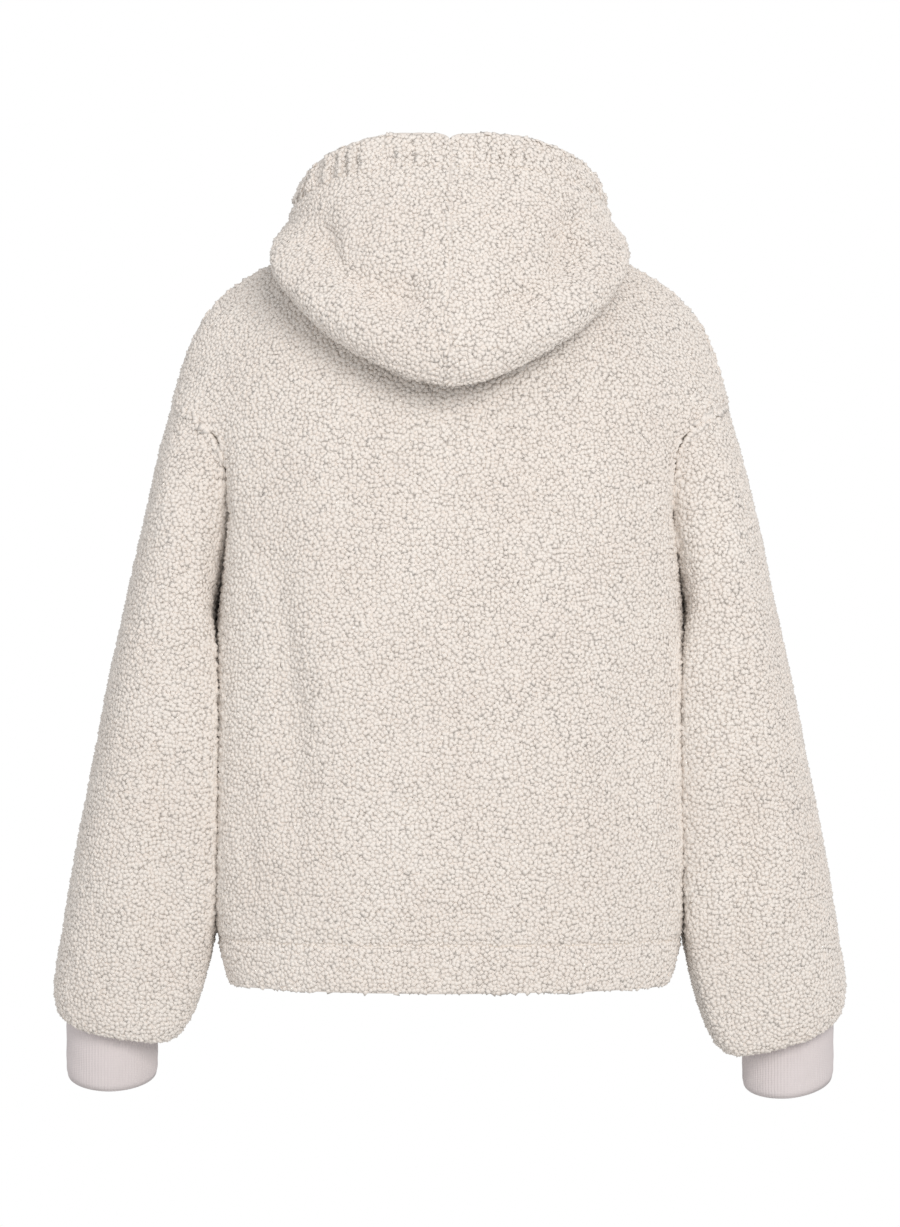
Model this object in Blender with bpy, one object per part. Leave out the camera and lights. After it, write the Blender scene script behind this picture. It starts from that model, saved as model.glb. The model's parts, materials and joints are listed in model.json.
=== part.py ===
"""Hooded sherpa jacket, filled out as worn with nobody in it and the hood thrown back.

Metres, +Z up. The wearer faces -Y and the wearer's left arm is at +X. The origin is where the neck
carries the jacket: in the middle, at the height of the side neck points.
"""

import math

import bmesh
import bpy
import numpy as np

# Cloth
SHERPA_WALL = 0.006  # knitted backing and pile together
RIB_WALL = 0.003  # rib knit, folded double
SEAM_GAP = 0.0003
ARMHOLE_CLEAR = 0.0007  # the sleeve heads stand this far out of the seam
# How far the body's and the sleeve's faces look the same way along the armhole, as a cosine: from FLAT
# on they meet in one mitred edge, and up to FOLDED each keeps its own square edge, as in the underarm
FLAT = 0.70
FOLDED = -0.20
STITCH_WIDTH = 0.0026
HEM_STITCH_DEPTH = 0.0022
HOOD_STITCH_DEPTH = 0.0018

# Neckline, as half ellipses behind and in front of the side neck points
NECK_HALF_WIDTH = 0.085
NECK_BACK_DEPTH = 0.060
NECK_FRONT_DEPTH = 0.095
NECK_BACK_RISE = 0.010
NECK_FRONT_DROP = 0.065
NECK_STEPS = 4  # columns of a panel between the centre line and the side neck point

# Front opening
FRONT_EDGE_X = 0.005
HOOD_FRONT_X = 0.0015

# Each line runs up one half of the body, with a point (x, y, z) at every height of HEIGHTS.
# The last height, the neckline with the shoulder seam, is worked out on its own.
#   name of the height and its distance up the back from the hem
HEIGHTS = {
    "hem": 0.0,
    "stitch": 0.0385,
    "lower": 0.1175,
    "waist": 0.2175,
    "chest": 0.3075,
    "underarm": 0.355,
    "armhole_low": 0.415,
    "armhole_back": 0.475,
    "cap": 0.525,
    "ridge": 0.580,
    "seam": 0.640,
}
BACK_LINES = {
    "centre": (
        (0, 0.124, -0.6400),
        (0, 0.1275, -0.599),
        (0, 0.1335, -0.520),
        (0, 0.137, -0.420),
        (0, 0.138, -0.330),
        (0, 0.136, -0.280),
        (0, 0.131, -0.215),
        (0, 0.124, -0.150),
        (0, 0.113, -0.095),
        (0, 0.092, -0.035),
    ),
    "blade": (
        (0.105, 0.116, -0.6395),
        (0.107, 0.120, -0.599),
        (0.110, 0.126, -0.520),
        (0.110, 0.129, -0.420),
        (0.110, 0.130, -0.330),
        (0.109, 0.128, -0.278),
        (0.103, 0.125, -0.214),
        (0.096, 0.117, -0.150),
        (0.086, 0.104, -0.094),
        (0.068, 0.082, -0.034),
    ),
    "corner": (
        (0.173, 0.077, -0.6385),
        (0.179, 0.080, -0.599),
        (0.182, 0.084, -0.520),
        (0.182, 0.086, -0.420),
        (0.181, 0.088, -0.330),
        (0.179, 0.089, -0.277),
        (0.174, 0.093, -0.214),
        (0.165, 0.093, -0.156),
        (0.152, 0.087, -0.104),
        (0.132, 0.052, -0.045),
    ),
    "crease": (
        (0.187, 0.040, -0.6375),
        (0.195, 0.040, -0.599),
        (0.197, 0.042, -0.520),
        (0.197, 0.043, -0.420),
        (0.196, 0.043, -0.330),
        (0.1895, 0.045, -0.280),
        (0.1862, 0.070, -0.224),
        (0.186, 0.079, -0.169),
        (0.196, 0.064, -0.134),
        (0.190, 0.042, -0.080),
    ),
}
FRONT_LINES = {
    "centre": (
        (FRONT_EDGE_X, -0.127, -0.6400),
        (FRONT_EDGE_X, -0.130, -0.599),
        (FRONT_EDGE_X, -0.136, -0.520),
        (FRONT_EDGE_X, -0.140, -0.420),
        (FRONT_EDGE_X, -0.143, -0.330),
        (FRONT_EDGE_X, -0.142, -0.280),
        (FRONT_EDGE_X, -0.138, -0.215),
        (FRONT_EDGE_X, -0.131, -0.165),
        (FRONT_EDGE_X, -0.122, -0.125),
        (FRONT_EDGE_X, -0.111, -0.095),
    ),
    "blade": (
        (0.105, -0.118, -0.6395),
        (0.107, -0.122, -0.599),
        (0.110, -0.128, -0.520),
        (0.110, -0.132, -0.420),
        (0.110, -0.134, -0.330),
        (0.109, -0.133, -0.278),
        (0.104, -0.129, -0.214),
        (0.097, -0.121, -0.160),
        (0.088, -0.108, -0.110),
        (0.074, -0.088, -0.062),
    ),
    "corner": (
        (0.173, -0.079, -0.6385),
        (0.179, -0.082, -0.599),
        (0.182, -0.086, -0.520),
        (0.182, -0.088, -0.420),
        (0.181, -0.090, -0.330),
        (0.179, -0.090, -0.277),
        (0.174, -0.093, -0.214),
        (0.165, -0.092, -0.158),
        (0.152, -0.083, -0.108),
        (0.132, -0.055, -0.050),
    ),
}
# Side seam, then up the back of the armhole. The front of the armhole mirrors it.
EDGE_LINE = (
    (0.1890, 0, -0.6370),
    (0.1970, 0, -0.599),
    (0.1985, 0, -0.520),
    (0.1985, 0, -0.420),
    (0.1960, 0, -0.330),
    (0.1915, 0, -0.290),
    (0.1870, 0.050, -0.240),
    (0.1940, 0.072, -0.178),
    (0.2230, 0.060, -0.156),
    (0.2355, 0.030, -0.146),
)
# Shoulder seam from the side neck point out to the top of the armhole
SHOULDER_SEAM = (
    (0.085, 0, 0),
    (0.120, 0, -0.010),
    (0.153, 0, -0.021),
    (0.181, 0, -0.037),
    (0.2105, 0, -0.063),
    (0.2265, 0, -0.093),
    (0.2380, 0, -0.1425),
)
# Where a panel's points lie: across (0 centre, 1 blade, 2 corner, 3 crease, 4 side) and up
ACROSS = (0, 0.38, 0.75, 1.12, 1.5, 2, 2.4, 2.75, 3, 3.5, 4)
UP_TO_UNDERARM = (
    *(0, 0.005, 0.020, 0.0325, 0.0365, 0.0385, 0.0405),
    *(0.0445, 0.080, 0.1175, 0.1675, 0.2175, 0.2625, 0.3075),
)
UP_THE_ARMHOLE = (
    *(0.355, 0.380, 0.405, 0.430, 0.4525, 0.475, 0.500),
    *(0.525, 0.5525, 0.580, 0.600, 0.620, 0.640),
)
HEM_ROUNDING = 0.0015

# Sleeve, a row for each ring below the armhole seam:
#   outer x, outer z, inner x, inner z, half depth, middle y, forward tilt, and how far its inner
#   face bends round the side of the body
SLEEVE_RINGS = (
    (0.2525, -0.192, 0.2020, -0.318, 0.0840, 0.000, 0.00, 0.000),
    (0.2720, -0.278, 0.2020, -0.352, 0.0865, 0.000, 0.00, 0.008),
    (0.2963, -0.390, 0.2015, -0.412, 0.0860, 0.000, 0.00, 0.012),
    (0.3138, -0.476, 0.2015, -0.481, 0.0830, -0.003, 0.04, 0.012),
    (0.3288, -0.554, 0.2020, -0.554, 0.0780, -0.006, 0.09, 0.010),
    (0.3372, -0.605, 0.2040, -0.604, 0.0720, -0.009, 0.15, 0.004),
    (0.3428, -0.639, 0.2140, -0.645, 0.0650, -0.011, 0.22, 0.000),
    (0.3412, -0.657, 0.2240, -0.668, 0.0580, -0.012, 0.27, 0.000),
    (0.3375, -0.666, 0.2370, -0.6815, 0.0490, -0.012, 0.30, 0.000),
)
SLEEVE_ROUNDNESS_OUT = 2.2
SLEEVE_ROUNDNESS_IN = 4.0
SLEEVE_STEPS = (0, 0.33, 0.66, 1, 1.5, 2, 2.5, 3, 4, 5, 5.5, 6, 6.5, 7, 7.5, 8, 8.5, 9, 10)
# Long soft folds in the sleeve: turn round the sleeve in degrees from its outer side, ring where it
# is deepest, rings that it runs either way, half width in degrees, depth
SLEEVE_FOLDS = (
    (112, 6.5, 2.0, 24, 0.0055),
    (52, 7.2, 1.5, 20, 0.0035),
    (-75, 6.0, 2.4, 24, 0.0050),
    (-140, 5.0, 2.0, 20, 0.0035),
)
# The right sleeve hangs lower on its inner side
RIGHT_INNER_DROP = 0.0125
DROP_FROM_Z = -0.300
DROP_TO_Z = -0.650
DROP_OUTER_X = 0.343
DROP_INNER_X = 0.230

# Rib cuff
CUFF_MIDDLE_X = 0.2915
CUFF_MIDDLE_Y = -0.012
CUFF_HALF_WIDTH = 0.0396
CUFF_HALF_DEPTH = 0.0372
CUFF_TILT = 0.33
CUFF_RIBS = 56
RIB_DEPTH = 0.0008
CUFF_SEAM_EASE = 0.00068  # how far the corners of the sleeve's seam edge stand off the cuff
CUFF_SEAM_OUTER_Z = -0.667
CUFF_SEAM_INNER_Z = -0.6805
#   height of each ring of the outer face, and how far it draws in
CUFF_RINGS = (
    (-0.6615, 0.0),
    (-0.6920, 0.0),
    (-0.7175, 0.0),
    (-0.7205, 0.0012),
)

# Hood, a point (x, y, z) on each line for every turn round the neck. The lines run from the neck seam
# out over the back panel, round the bottom of the bag and up its outer face to the rim.
HOOD_TURNS = (0, 30, 60, 90, 110, 135, 180)
HOOD_LINES = {
    "lift": (
        (0, 0.076, 0.014),
        (0.052, 0.067, 0.013),
        (0.088, 0.040, 0.011),
        (0.100, 0.005, 0.007),
        (0.091, -0.036, -0.005),
        (0.068, -0.071, -0.033),
        (HOOD_FRONT_X, -0.098, -0.060),
    ),
    "under": (
        (0, 0.117, -0.056),
        (0.056, 0.107, -0.050),
        (0.098, 0.075, -0.030),
        (0.119, 0.030, -0.002),
        (0.108, -0.031, 0.001),
        (0.077, -0.077, -0.026),
        (HOOD_FRONT_X, -0.101, -0.055),
    ),
    "bottom": (
        (0, 0.148, -0.143),
        (0.052, 0.139, -0.127),
        (0.106, 0.110, -0.087),
        (0.146, 0.064, -0.036),
        (0.129, -0.024, 0.001),
        (0.088, -0.083, -0.018),
        (HOOD_FRONT_X, -0.104, -0.051),
    ),
    "roll": (
        (0, 0.176, -0.116),
        (0.062, 0.164, -0.100),
        (0.124, 0.128, -0.062),
        (0.1545, 0.062, -0.014),
        (0.139, -0.019, 0.009),
        (0.097, -0.085, -0.008),
        (HOOD_FRONT_X, -0.107, -0.047),
    ),
    "valley": (
        (0, 0.166, -0.068),
        (0.056, 0.146, -0.050),
        (0.104, 0.103, -0.010),
        (0.1400, 0.040, 0.006),
        (0.134, -0.020, 0.017),
        (0.102, -0.084, 0.000),
        (HOOD_FRONT_X, -0.109, -0.043),
    ),
    "face": (
        (0, 0.142, -0.010),
        (0.056, 0.130, -0.004),
        (0.107, 0.093, 0.016),
        (0.1395, 0.034, 0.015),
        (0.133, -0.021, 0.023),
        (0.104, -0.081, 0.007),
        (HOOD_FRONT_X, -0.111, -0.039),
    ),
    "stitch": (
        (0, 0.112, 0.049),
        (0.056, 0.105, 0.049),
        (0.1085, 0.081, 0.038),
        (0.1370, 0.030, 0.024),
        (0.134, -0.022, 0.028),
        (0.104, -0.078, 0.014),
        (HOOD_FRONT_X, -0.1125, -0.035),
    ),
    "rim": (
        (0, 0.100, 0.077),
        (0.056, 0.094, 0.0765),
        (0.1060, 0.071, 0.0625),
        (0.1285, 0.024, 0.047),
        (0.127, -0.022, 0.047),
        (0.101, -0.070, 0.036),
        (HOOD_FRONT_X, -0.1150, -0.012),
    ),
}
HOOD_STEPS = (0, 0.5, 1, 1.5, 2, 2.5, 3, 3.5, 4, 4.5, 5, 5.5, 6, 6.8, 7, 7.2, 7.6, 8)
HOOD_STITCH_AT = 7
HOOD_STITCH_SPREAD = 0.11

# Zip
TAPE_WIDTH = 0.016
TAPE_THICK = 0.001
CHAIN_GAP = 0.0004
CHAIN_WIDTH = 0.0030
CHAIN_PROUD = 0.0010
CHAIN_BACK = 0.0020
SLIDER_LENGTH = 0.011
SLIDER_HALF_WIDTH = 0.00425
SLIDER_PLATE = 0.0012
SLIDER_FLANGE = 0.0006
SLIDER_FROM_TOP = 0.016
BRIDGE_HALF_LENGTH = 0.0040
BRIDGE_HALF_WIDTH = 0.0008
BRIDGE_THICK = 0.0008
BRIDGE_CLEAR = 0.0018
PULL_LENGTH = 0.024
PULL_HALF_WIDTH = 0.0025
PULL_THICK = 0.0010
PULL_WINDOW = 0.0056
PULL_WINDOW_HALF_WIDTH = 0.0012

MIRROR_X = np.array((-1.0, 1.0, 1.0))
MIRROR_Y = np.array((1.0, -1.0, 1.0))


def clear_scene():
    for obj in list(bpy.data.objects):
        bpy.data.objects.remove(obj, do_unlink=True)


def new_collection(name):
    collection = bpy.data.collections.new(name)
    bpy.context.scene.collection.children.link(collection)
    return collection


def new_material(name, colour, roughness, metallic=0.0):
    material = bpy.data.materials.new(name)
    material.use_nodes = True
    shader = material.node_tree.nodes["Principled BSDF"]
    shader.inputs["Base Color"].default_value = (*colour, 1.0)
    shader.inputs["Roughness"].default_value = roughness
    shader.inputs["Metallic"].default_value = metallic
    return material


def smooth(keys, values, at):
    """Values given at rising keys, read at other places on a smooth curve through all of them."""
    keys = np.asarray(keys, float)
    values = np.asarray(values, float)
    at = np.asarray(at, float)
    slopes = np.gradient(values, keys, axis=0)
    left = np.clip(np.searchsorted(keys, at, side="right") - 1, 0, len(keys) - 2)
    shape = (-1,) + (1,) * (values.ndim - 1)
    span = (keys[left + 1] - keys[left]).reshape(shape)
    t = (at - keys[left]).reshape(shape) / span
    start = values[left] * (1 + 2 * t) * (1 - t) ** 2 + slopes[left] * span * t * (1 - t) ** 2
    end = values[left + 1] * t**2 * (3 - 2 * t) + slopes[left + 1] * span * t**2 * (t - 1)
    return start + end


def smooth_closed(values, degrees, at):
    """As smooth, for values that mirror in X past both ends, so the curve crosses x = 0 square on."""
    before = values[1] * MIRROR_X
    after = values[-2] * MIRROR_X
    padded = np.concatenate([[before], values, [after]])
    keys = [2 * degrees[0] - degrees[1], *degrees, 2 * degrees[-1] - degrees[-2]]
    return smooth(keys, padded, at)


def ease(t):
    t = np.clip(t, 0, 1)
    return t * t * (3 - 2 * t)


def neckline(turn):
    """Point of the neckline at this many degrees round from the centre back."""
    side = math.sin(math.radians(turn))
    back = math.cos(math.radians(turn))
    if back >= 0:
        return (NECK_HALF_WIDTH * side, NECK_BACK_DEPTH * back, NECK_BACK_RISE * back)
    drop = NECK_FRONT_DROP * (-back) ** 1.5
    return (max(NECK_HALF_WIDTH * side, FRONT_EDGE_X), NECK_FRONT_DEPTH * back, -drop)


def top_row(front):
    """Neckline from the centre to the side neck point, then the shoulder seam."""
    turns = np.linspace(180 if front else 0, 90, NECK_STEPS + 1)
    neck = [neckline(turn) for turn in turns]
    steps = len(ACROSS) - 1 - NECK_STEPS
    seam = np.array(SHOULDER_SEAM, float)
    length = np.concatenate([[0], np.cumsum(np.linalg.norm(np.diff(seam, axis=0), axis=1))])
    shoulder = smooth(length, seam, np.linspace(0, length[-1], steps + 1)[1:])
    return np.concatenate([neck, shoulder])


def body_grids():
    """Outer faces of the half back and the half front at +X, as grids of rows from the hem up."""
    keys = list(HEIGHTS.values())
    underarm = list(HEIGHTS).index("underarm")
    back_names = ("centre", "blade", "corner", "crease")
    rows = {"back": [], "front": []}
    for height in range(len(keys) - 1):
        edge = np.array(EDGE_LINE[height], float)
        crease = np.array(BACK_LINES["crease"][height], float)
        back = [np.array(BACK_LINES[name][height], float) for name in back_names]
        front = [np.array(FRONT_LINES[name][height], float) for name in ("centre", "blade", "corner")]
        front.append(crease * MIRROR_Y)
        if height <= underarm:
            ring = [back[1] * MIRROR_X, *back, edge, *front[::-1], front[1] * MIRROR_X]
            ring_keys = np.arange(-1, 10)
            rows["back"].append(smooth(ring_keys, ring, ACROSS))
            rows["front"].append(smooth(ring_keys, ring, 8 - np.array(ACROSS)))
            continue
        for name, points, seam in (("back", back, edge), ("front", front, edge * MIRROR_Y)):
            line = [points[1] * MIRROR_X, *points, seam]
            rows[name].append(smooth(np.arange(-1, 5), line, ACROSS))
    rows["back"].append(top_row(front=False))
    rows["front"].append(top_row(front=True))
    back_rows = np.array(rows["back"])
    front_rows = np.array(rows["front"])
    up = np.array(UP_TO_UNDERARM + UP_THE_ARMHOLE)
    over_keys = keys + [2 * keys[-1] - key for key in keys[-2::-1]]
    over = np.concatenate([back_rows, front_rows[-2::-1]])
    back_grid = smooth(keys, back_rows, up)
    front_grid = smooth(keys, front_rows, up)
    back_over = smooth(over_keys, over, up)
    front_over = smooth(over_keys, over, 2 * keys[-1] - up)
    back_grid[:, NECK_STEPS:] = back_over[:, NECK_STEPS:]
    front_grid[:, NECK_STEPS:] = front_over[:, NECK_STEPS:]
    side_rows = len(UP_TO_UNDERARM) + 1
    back_grid[:side_rows, -1, 1] = 0
    front_grid[:side_rows, -1] = back_grid[:side_rows, -1]
    front_grid[:, 0, 0] = FRONT_EDGE_X
    return back_grid, front_grid


def along_armhole(back_values, front_values):
    """Both panels' values at the armhole: from its top, down the back to the underarm, up the front."""
    first = len(UP_TO_UNDERARM)
    down = back_values[first:, -1][::-1]
    rise = front_values[first:, -1][1:-1]
    return np.concatenate([down, rise])


def ring_point(angle, out_power, in_power):
    """Point of a unit ring whose outer half and inner half have their own roundness."""
    across = math.cos(angle)
    along = math.sin(angle)
    power = out_power if across >= 0 else in_power
    across = math.copysign(abs(across) ** (2 / power), across)
    along = math.copysign(abs(along) ** (2 / power), along)
    return across, along


def cuff_seam_ring(count):
    """Seam ring of the sleeve, round the cuff's own oval."""
    ring = []
    for j in range(count):
        angle = 2 * math.pi * j / count
        share = (1 + math.cos(angle)) / 2
        x = CUFF_MIDDLE_X + (CUFF_HALF_WIDTH + CUFF_SEAM_EASE) * math.cos(angle)
        y = (CUFF_HALF_DEPTH + CUFF_SEAM_EASE) * math.sin(angle)
        z = CUFF_SEAM_INNER_Z + (CUFF_SEAM_OUTER_Z - CUFF_SEAM_INNER_Z) * share - CUFF_TILT * y
        ring.append((x, CUFF_MIDDLE_Y + y, z))
    return ring


def sleeve_grid(loop):
    """Outer face of the +X sleeve: rings from the armhole down, each from the outer side round the back."""
    count = len(loop)
    rings = [loop]
    for outer_x, outer_z, inner_x, inner_z, depth, middle_y, tilt, wrap in SLEEVE_RINGS:
        ring = []
        for j in range(count):
            across, along = ring_point(2 * math.pi * j / count, SLEEVE_ROUNDNESS_OUT, SLEEVE_ROUNDNESS_IN)
            share = (1 + across) / 2
            x = inner_x + (outer_x - inner_x) * share
            if across < 0:
                x -= wrap * math.sin(4 * math.pi * j / count) ** 2
            z = inner_z + (outer_z - inner_z) * share - tilt * depth * along
            ring.append((x, middle_y + depth * along, z))
        rings.append(ring)
    rings.append(cuff_seam_ring(count))
    return smooth(np.arange(len(rings)), np.array(rings, float), SLEEVE_STEPS)


def hood_grid(seam_row):
    """Outer face of the hood's +X half: rows from the neck seam to the rim, from the centre back round."""
    columns = len(seam_row)
    turns = np.linspace(0, 180, columns)
    lines = [seam_row]
    for points in HOOD_LINES.values():
        line = smooth_closed(np.array(points, float), list(HOOD_TURNS), turns)
        line[0, 0] = 0
        line[-1, 0] = HOOD_FRONT_X
        lines.append(line)
    return smooth(np.arange(len(lines)), np.array(lines), HOOD_STEPS)


def grid_normals(grids, wrapped):
    """Normals of every grid, out of the cloth, summed up wherever grids have a point in common."""
    sums = {}
    keys = []
    for grid, wrap in zip(grids, wrapped):
        key = [[tuple(np.round(point * 1e5).astype(int)) for point in row] for row in grid]
        keys.append(key)
        rows, columns = grid.shape[:2]
        for i in range(rows - 1):
            for j in range(columns if wrap else columns - 1):
                k = (j + 1) % columns
                normal = np.cross(grid[i + 1, j] - grid[i, k], grid[i + 1, k] - grid[i, j])
                for corner in (key[i][j], key[i][k], key[i + 1][j], key[i + 1][k]):
                    sums[corner] = sums.get(corner, np.zeros(3)) + normal
    found = []
    for key in keys:
        normals = np.array([[sums[corner] for corner in row] for row in key])
        found.append(normals)
    return found


def unit(vectors):
    return vectors / np.linalg.norm(vectors, axis=-1, keepdims=True)


def part_armhole_normals(back_normals, front_normals, sleeve_normals):
    """Lets the panels and the sleeve share their normals along the armhole where it runs flat."""
    body = along_armhole(back_normals, front_normals)
    sleeve = sleeve_normals[0]
    facing = np.sum(unit(body) * unit(sleeve), axis=-1, keepdims=True)
    share = ease((facing - FOLDED) / (FLAT - FOLDED))
    body_normals = unit(body + share * sleeve)
    sleeve_normals[0] = unit(sleeve + share * body)
    first = len(UP_TO_UNDERARM)
    turn = len(UP_THE_ARMHOLE)
    back_normals[first:, -1] = body_normals[:turn][::-1]
    front_normals[first:, -1] = np.concatenate([body_normals[turn - 1 :], body_normals[:1]])


def stitch_groove(distance, spread, depth):
    """Depth of the hollow that a row of stitches pulls into the cloth at this distance from it."""
    return depth * np.exp(-((np.asarray(distance) / spread) ** 2))


def draw_in(grid, wrapped):
    """The grid with its open edges drawn in by half a seam gap."""
    drawn = grid.copy()
    drawn[0] += unit(grid[1] - grid[0]) * SEAM_GAP / 2
    drawn[-1] += unit(grid[-2] - grid[-1]) * SEAM_GAP / 2
    if not wrapped:
        drawn[:, 0] += unit(grid[:, 1] - grid[:, 0]) * SEAM_GAP / 2
        drawn[:, -1] += unit(grid[:, -2] - grid[:, -1]) * SEAM_GAP / 2
    return drawn


def split_quad(points, corners):
    """Two triangles for a quad. Its cut depends on its shape alone, so mirrored panels fold alike."""
    a, b, c, d = corners

    def length_then_reach(start, end):
        length = round(float(np.linalg.norm(points[start] - points[end])), 5)
        return length, -max(abs(points[start][0]), abs(points[end][0]))

    if length_then_reach(a, c) <= length_then_reach(b, d):
        return [(a, b, c), (a, c, d)]
    return [(a, b, d), (b, c, d)]


def wall_mesh(name, outer, inner, wrapped=False):
    """Closed wall between two grids of the same size, with a rim along every open edge."""
    rows, columns = outer.shape[:2]
    points = np.concatenate([outer.reshape(-1, 3), inner.reshape(-1, 3)])
    index = np.arange(rows * columns).reshape(rows, columns)
    under = index + rows * columns
    quads = []
    for i in range(rows - 1):
        for j in range(columns if wrapped else columns - 1):
            k = (j + 1) % columns
            quads.append((index[i, j], index[i, k], index[i + 1, k], index[i + 1, j]))
            quads.append((under[i, j], under[i + 1, j], under[i + 1, k], under[i, k]))
    for j in range(columns if wrapped else columns - 1):
        k = (j + 1) % columns
        quads.append((index[0, k], index[0, j], under[0, j], under[0, k]))
        quads.append((index[-1, j], index[-1, k], under[-1, k], under[-1, j]))
    if not wrapped:
        for i in range(rows - 1):
            quads.append((index[i, 0], index[i + 1, 0], under[i + 1, 0], under[i, 0]))
            quads.append((index[i + 1, -1], index[i, -1], under[i, -1], under[i + 1, -1]))
    faces = [tuple(int(corner) for corner in face) for quad in quads for face in split_quad(points, quad)]
    mesh = bpy.data.meshes.new(name)
    mesh.from_pydata(points.tolist(), [], faces)
    return mesh


def add_part(name, mesh, material, collection):
    """Object for one sub-part, its faces turned outwards and shaded smooth."""
    form = bmesh.new()
    form.from_mesh(mesh)
    bmesh.ops.recalc_face_normals(form, faces=form.faces[:])
    form.to_mesh(mesh)
    form.free()
    mesh.materials.append(material)
    mesh.shade_smooth()
    mesh.set_sharp_from_angle(angle=math.radians(50))
    obj = bpy.data.objects.new(name, mesh)
    collection.objects.link(obj)
    return obj


def mirrored(grid):
    return grid * MIRROR_X


def joined_halves(grid):
    """Grid over the whole width from its +X half, whose first column lies on the centre line."""
    return np.concatenate([mirrored(grid[:, :0:-1]), grid], axis=1)


def drop(points):
    """Points of the right sleeve and cuff, let down on their inner side."""
    lowered = points.copy()
    down = ease((points[..., 2] - DROP_FROM_Z) / (DROP_TO_Z - DROP_FROM_Z))
    inward = (DROP_OUTER_X + points[..., 0]) / (DROP_OUTER_X - DROP_INNER_X)
    lowered[..., 2] -= RIGHT_INNER_DROP * down * inward
    return lowered


def hem_shape():
    """How far each row of a body panel's outer face moves in: the hem's stitches and its rounded edge."""
    up = np.array(UP_TO_UNDERARM + UP_THE_ARMHOLE)
    inward = stitch_groove(up - HEIGHTS["stitch"], STITCH_WIDTH, HEM_STITCH_DEPTH)
    inward[0] += HEM_ROUNDING
    return inward[:, None, None]


def make_body(back_grid, front_grid, back_normals, front_normals, material, collection):
    inward = hem_shape()
    back_outer = back_grid - back_normals * inward
    back_inner = back_grid - back_normals * SHERPA_WALL
    front_outer = front_grid - front_normals * inward
    front_inner = front_grid - front_normals * SHERPA_WALL
    wide_outer = draw_in(joined_halves(back_outer), False)
    wide_inner = draw_in(joined_halves(back_inner), False)
    add_part("back", wall_mesh("back", wide_outer, wide_inner), material, collection)
    outer = draw_in(front_outer, False)
    inner = draw_in(front_inner, False)
    add_part("front_left", wall_mesh("front_left", outer, inner), material, collection)
    right = wall_mesh("front_right", mirrored(outer), mirrored(inner))
    add_part("front_right", right, material, collection)
    return front_inner


def make_sleeves(grid, normals, material, collection):
    folded = grid.copy()
    turns = np.linspace(0, 360, grid.shape[1], endpoint=False)
    turns = np.where(turns > 180, turns - 360, turns)
    for turn, at, run, width, depth in SLEEVE_FOLDS:
        round_share = ease(1 - np.abs(turns - turn) / width)
        down_share = ease(1 - np.abs(np.array(SLEEVE_STEPS) - at) / run)
        folded -= normals * (depth * np.outer(down_share, round_share))[..., None]
    inner = folded - normals * SHERPA_WALL
    outer = draw_in(folded, True)
    inner = draw_in(inner, True)
    outer[0, :, 0] += ARMHOLE_CLEAR
    inner[0, :, 0] += ARMHOLE_CLEAR
    add_part("sleeve_left", wall_mesh("sleeve_left", outer, inner, True), material, collection)
    right = wall_mesh("sleeve_right", drop(mirrored(outer)), drop(mirrored(inner)), True)
    add_part("sleeve_right", right, material, collection)


def cuff_ring(height, drawn_in, thickness, ribbed):
    points = []
    count = 2 * CUFF_RIBS
    for j in range(count):
        angle = 2 * math.pi * j / count
        inset = drawn_in + thickness + (RIB_DEPTH if ribbed and j % 2 else 0)
        x = CUFF_MIDDLE_X + (CUFF_HALF_WIDTH - inset) * math.cos(angle)
        y = (CUFF_HALF_DEPTH - inset) * math.sin(angle)
        points.append((x, CUFF_MIDDLE_Y + y, height - CUFF_TILT * y))
    return points


def make_cuffs(material, collection):
    outer = np.array([cuff_ring(height, drawn_in, 0, True) for height, drawn_in in CUFF_RINGS])
    heights = np.linspace(CUFF_RINGS[0][0], CUFF_RINGS[-1][0], len(CUFF_RINGS))
    inner = np.array([cuff_ring(height, 0, RIB_WALL, False) for height in heights])
    add_part("cuff_left", wall_mesh("cuff_left", outer, inner, True), material, collection)
    right = wall_mesh("cuff_right", drop(mirrored(outer)), drop(mirrored(inner)), True)
    add_part("cuff_right", right, material, collection)


def hood_seam_row(back_grid, front_grid):
    """Neck seam of the hood: the panels' neckline with a point added in the middle of each step."""
    back = back_grid[-1, : NECK_STEPS + 1]
    front = front_grid[-1, : NECK_STEPS + 1][::-1]
    neck = np.concatenate([back, front[1:]])
    row = [neck[0]]
    for start, end in zip(neck[:-1], neck[1:]):
        row += [(start + end) / 2, end]
    row = np.array(row)
    row[:, 2] += 2 * SEAM_GAP
    row[-1, 0] = HOOD_FRONT_X
    return row


def make_hood(back_grid, front_grid, material, collection):
    grid = hood_grid(hood_seam_row(back_grid, front_grid))
    whole = joined_halves(grid)
    normals = unit(grid_normals([whole], [False])[0])[:, grid.shape[1] - 1 :]
    steps = np.array(HOOD_STEPS)
    inward = stitch_groove(steps - HOOD_STITCH_AT, HOOD_STITCH_SPREAD, HOOD_STITCH_DEPTH)
    outer = draw_in(grid - normals * inward[:, None, None], False)
    inner = draw_in(grid - normals * SHERPA_WALL, False)
    add_part("hood_left", wall_mesh("hood_left", outer, inner), material, collection)
    right = wall_mesh("hood_right", mirrored(outer), mirrored(inner))
    add_part("hood_right", right, material, collection)


def tape_section():
    """Corners of one half of the zip: distance from the centre, and depth behind the front's inner face."""
    chain_edge = CHAIN_GAP + CHAIN_WIDTH
    front = SEAM_GAP
    back = SEAM_GAP + TAPE_THICK
    return (
        (CHAIN_GAP, -CHAIN_PROUD),
        (chain_edge, -CHAIN_PROUD),
        (chain_edge, front),
        (TAPE_WIDTH, front),
        (TAPE_WIDTH, back),
        (chain_edge, back),
        (chain_edge, CHAIN_BACK),
        (CHAIN_GAP, CHAIN_BACK),
    )


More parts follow.
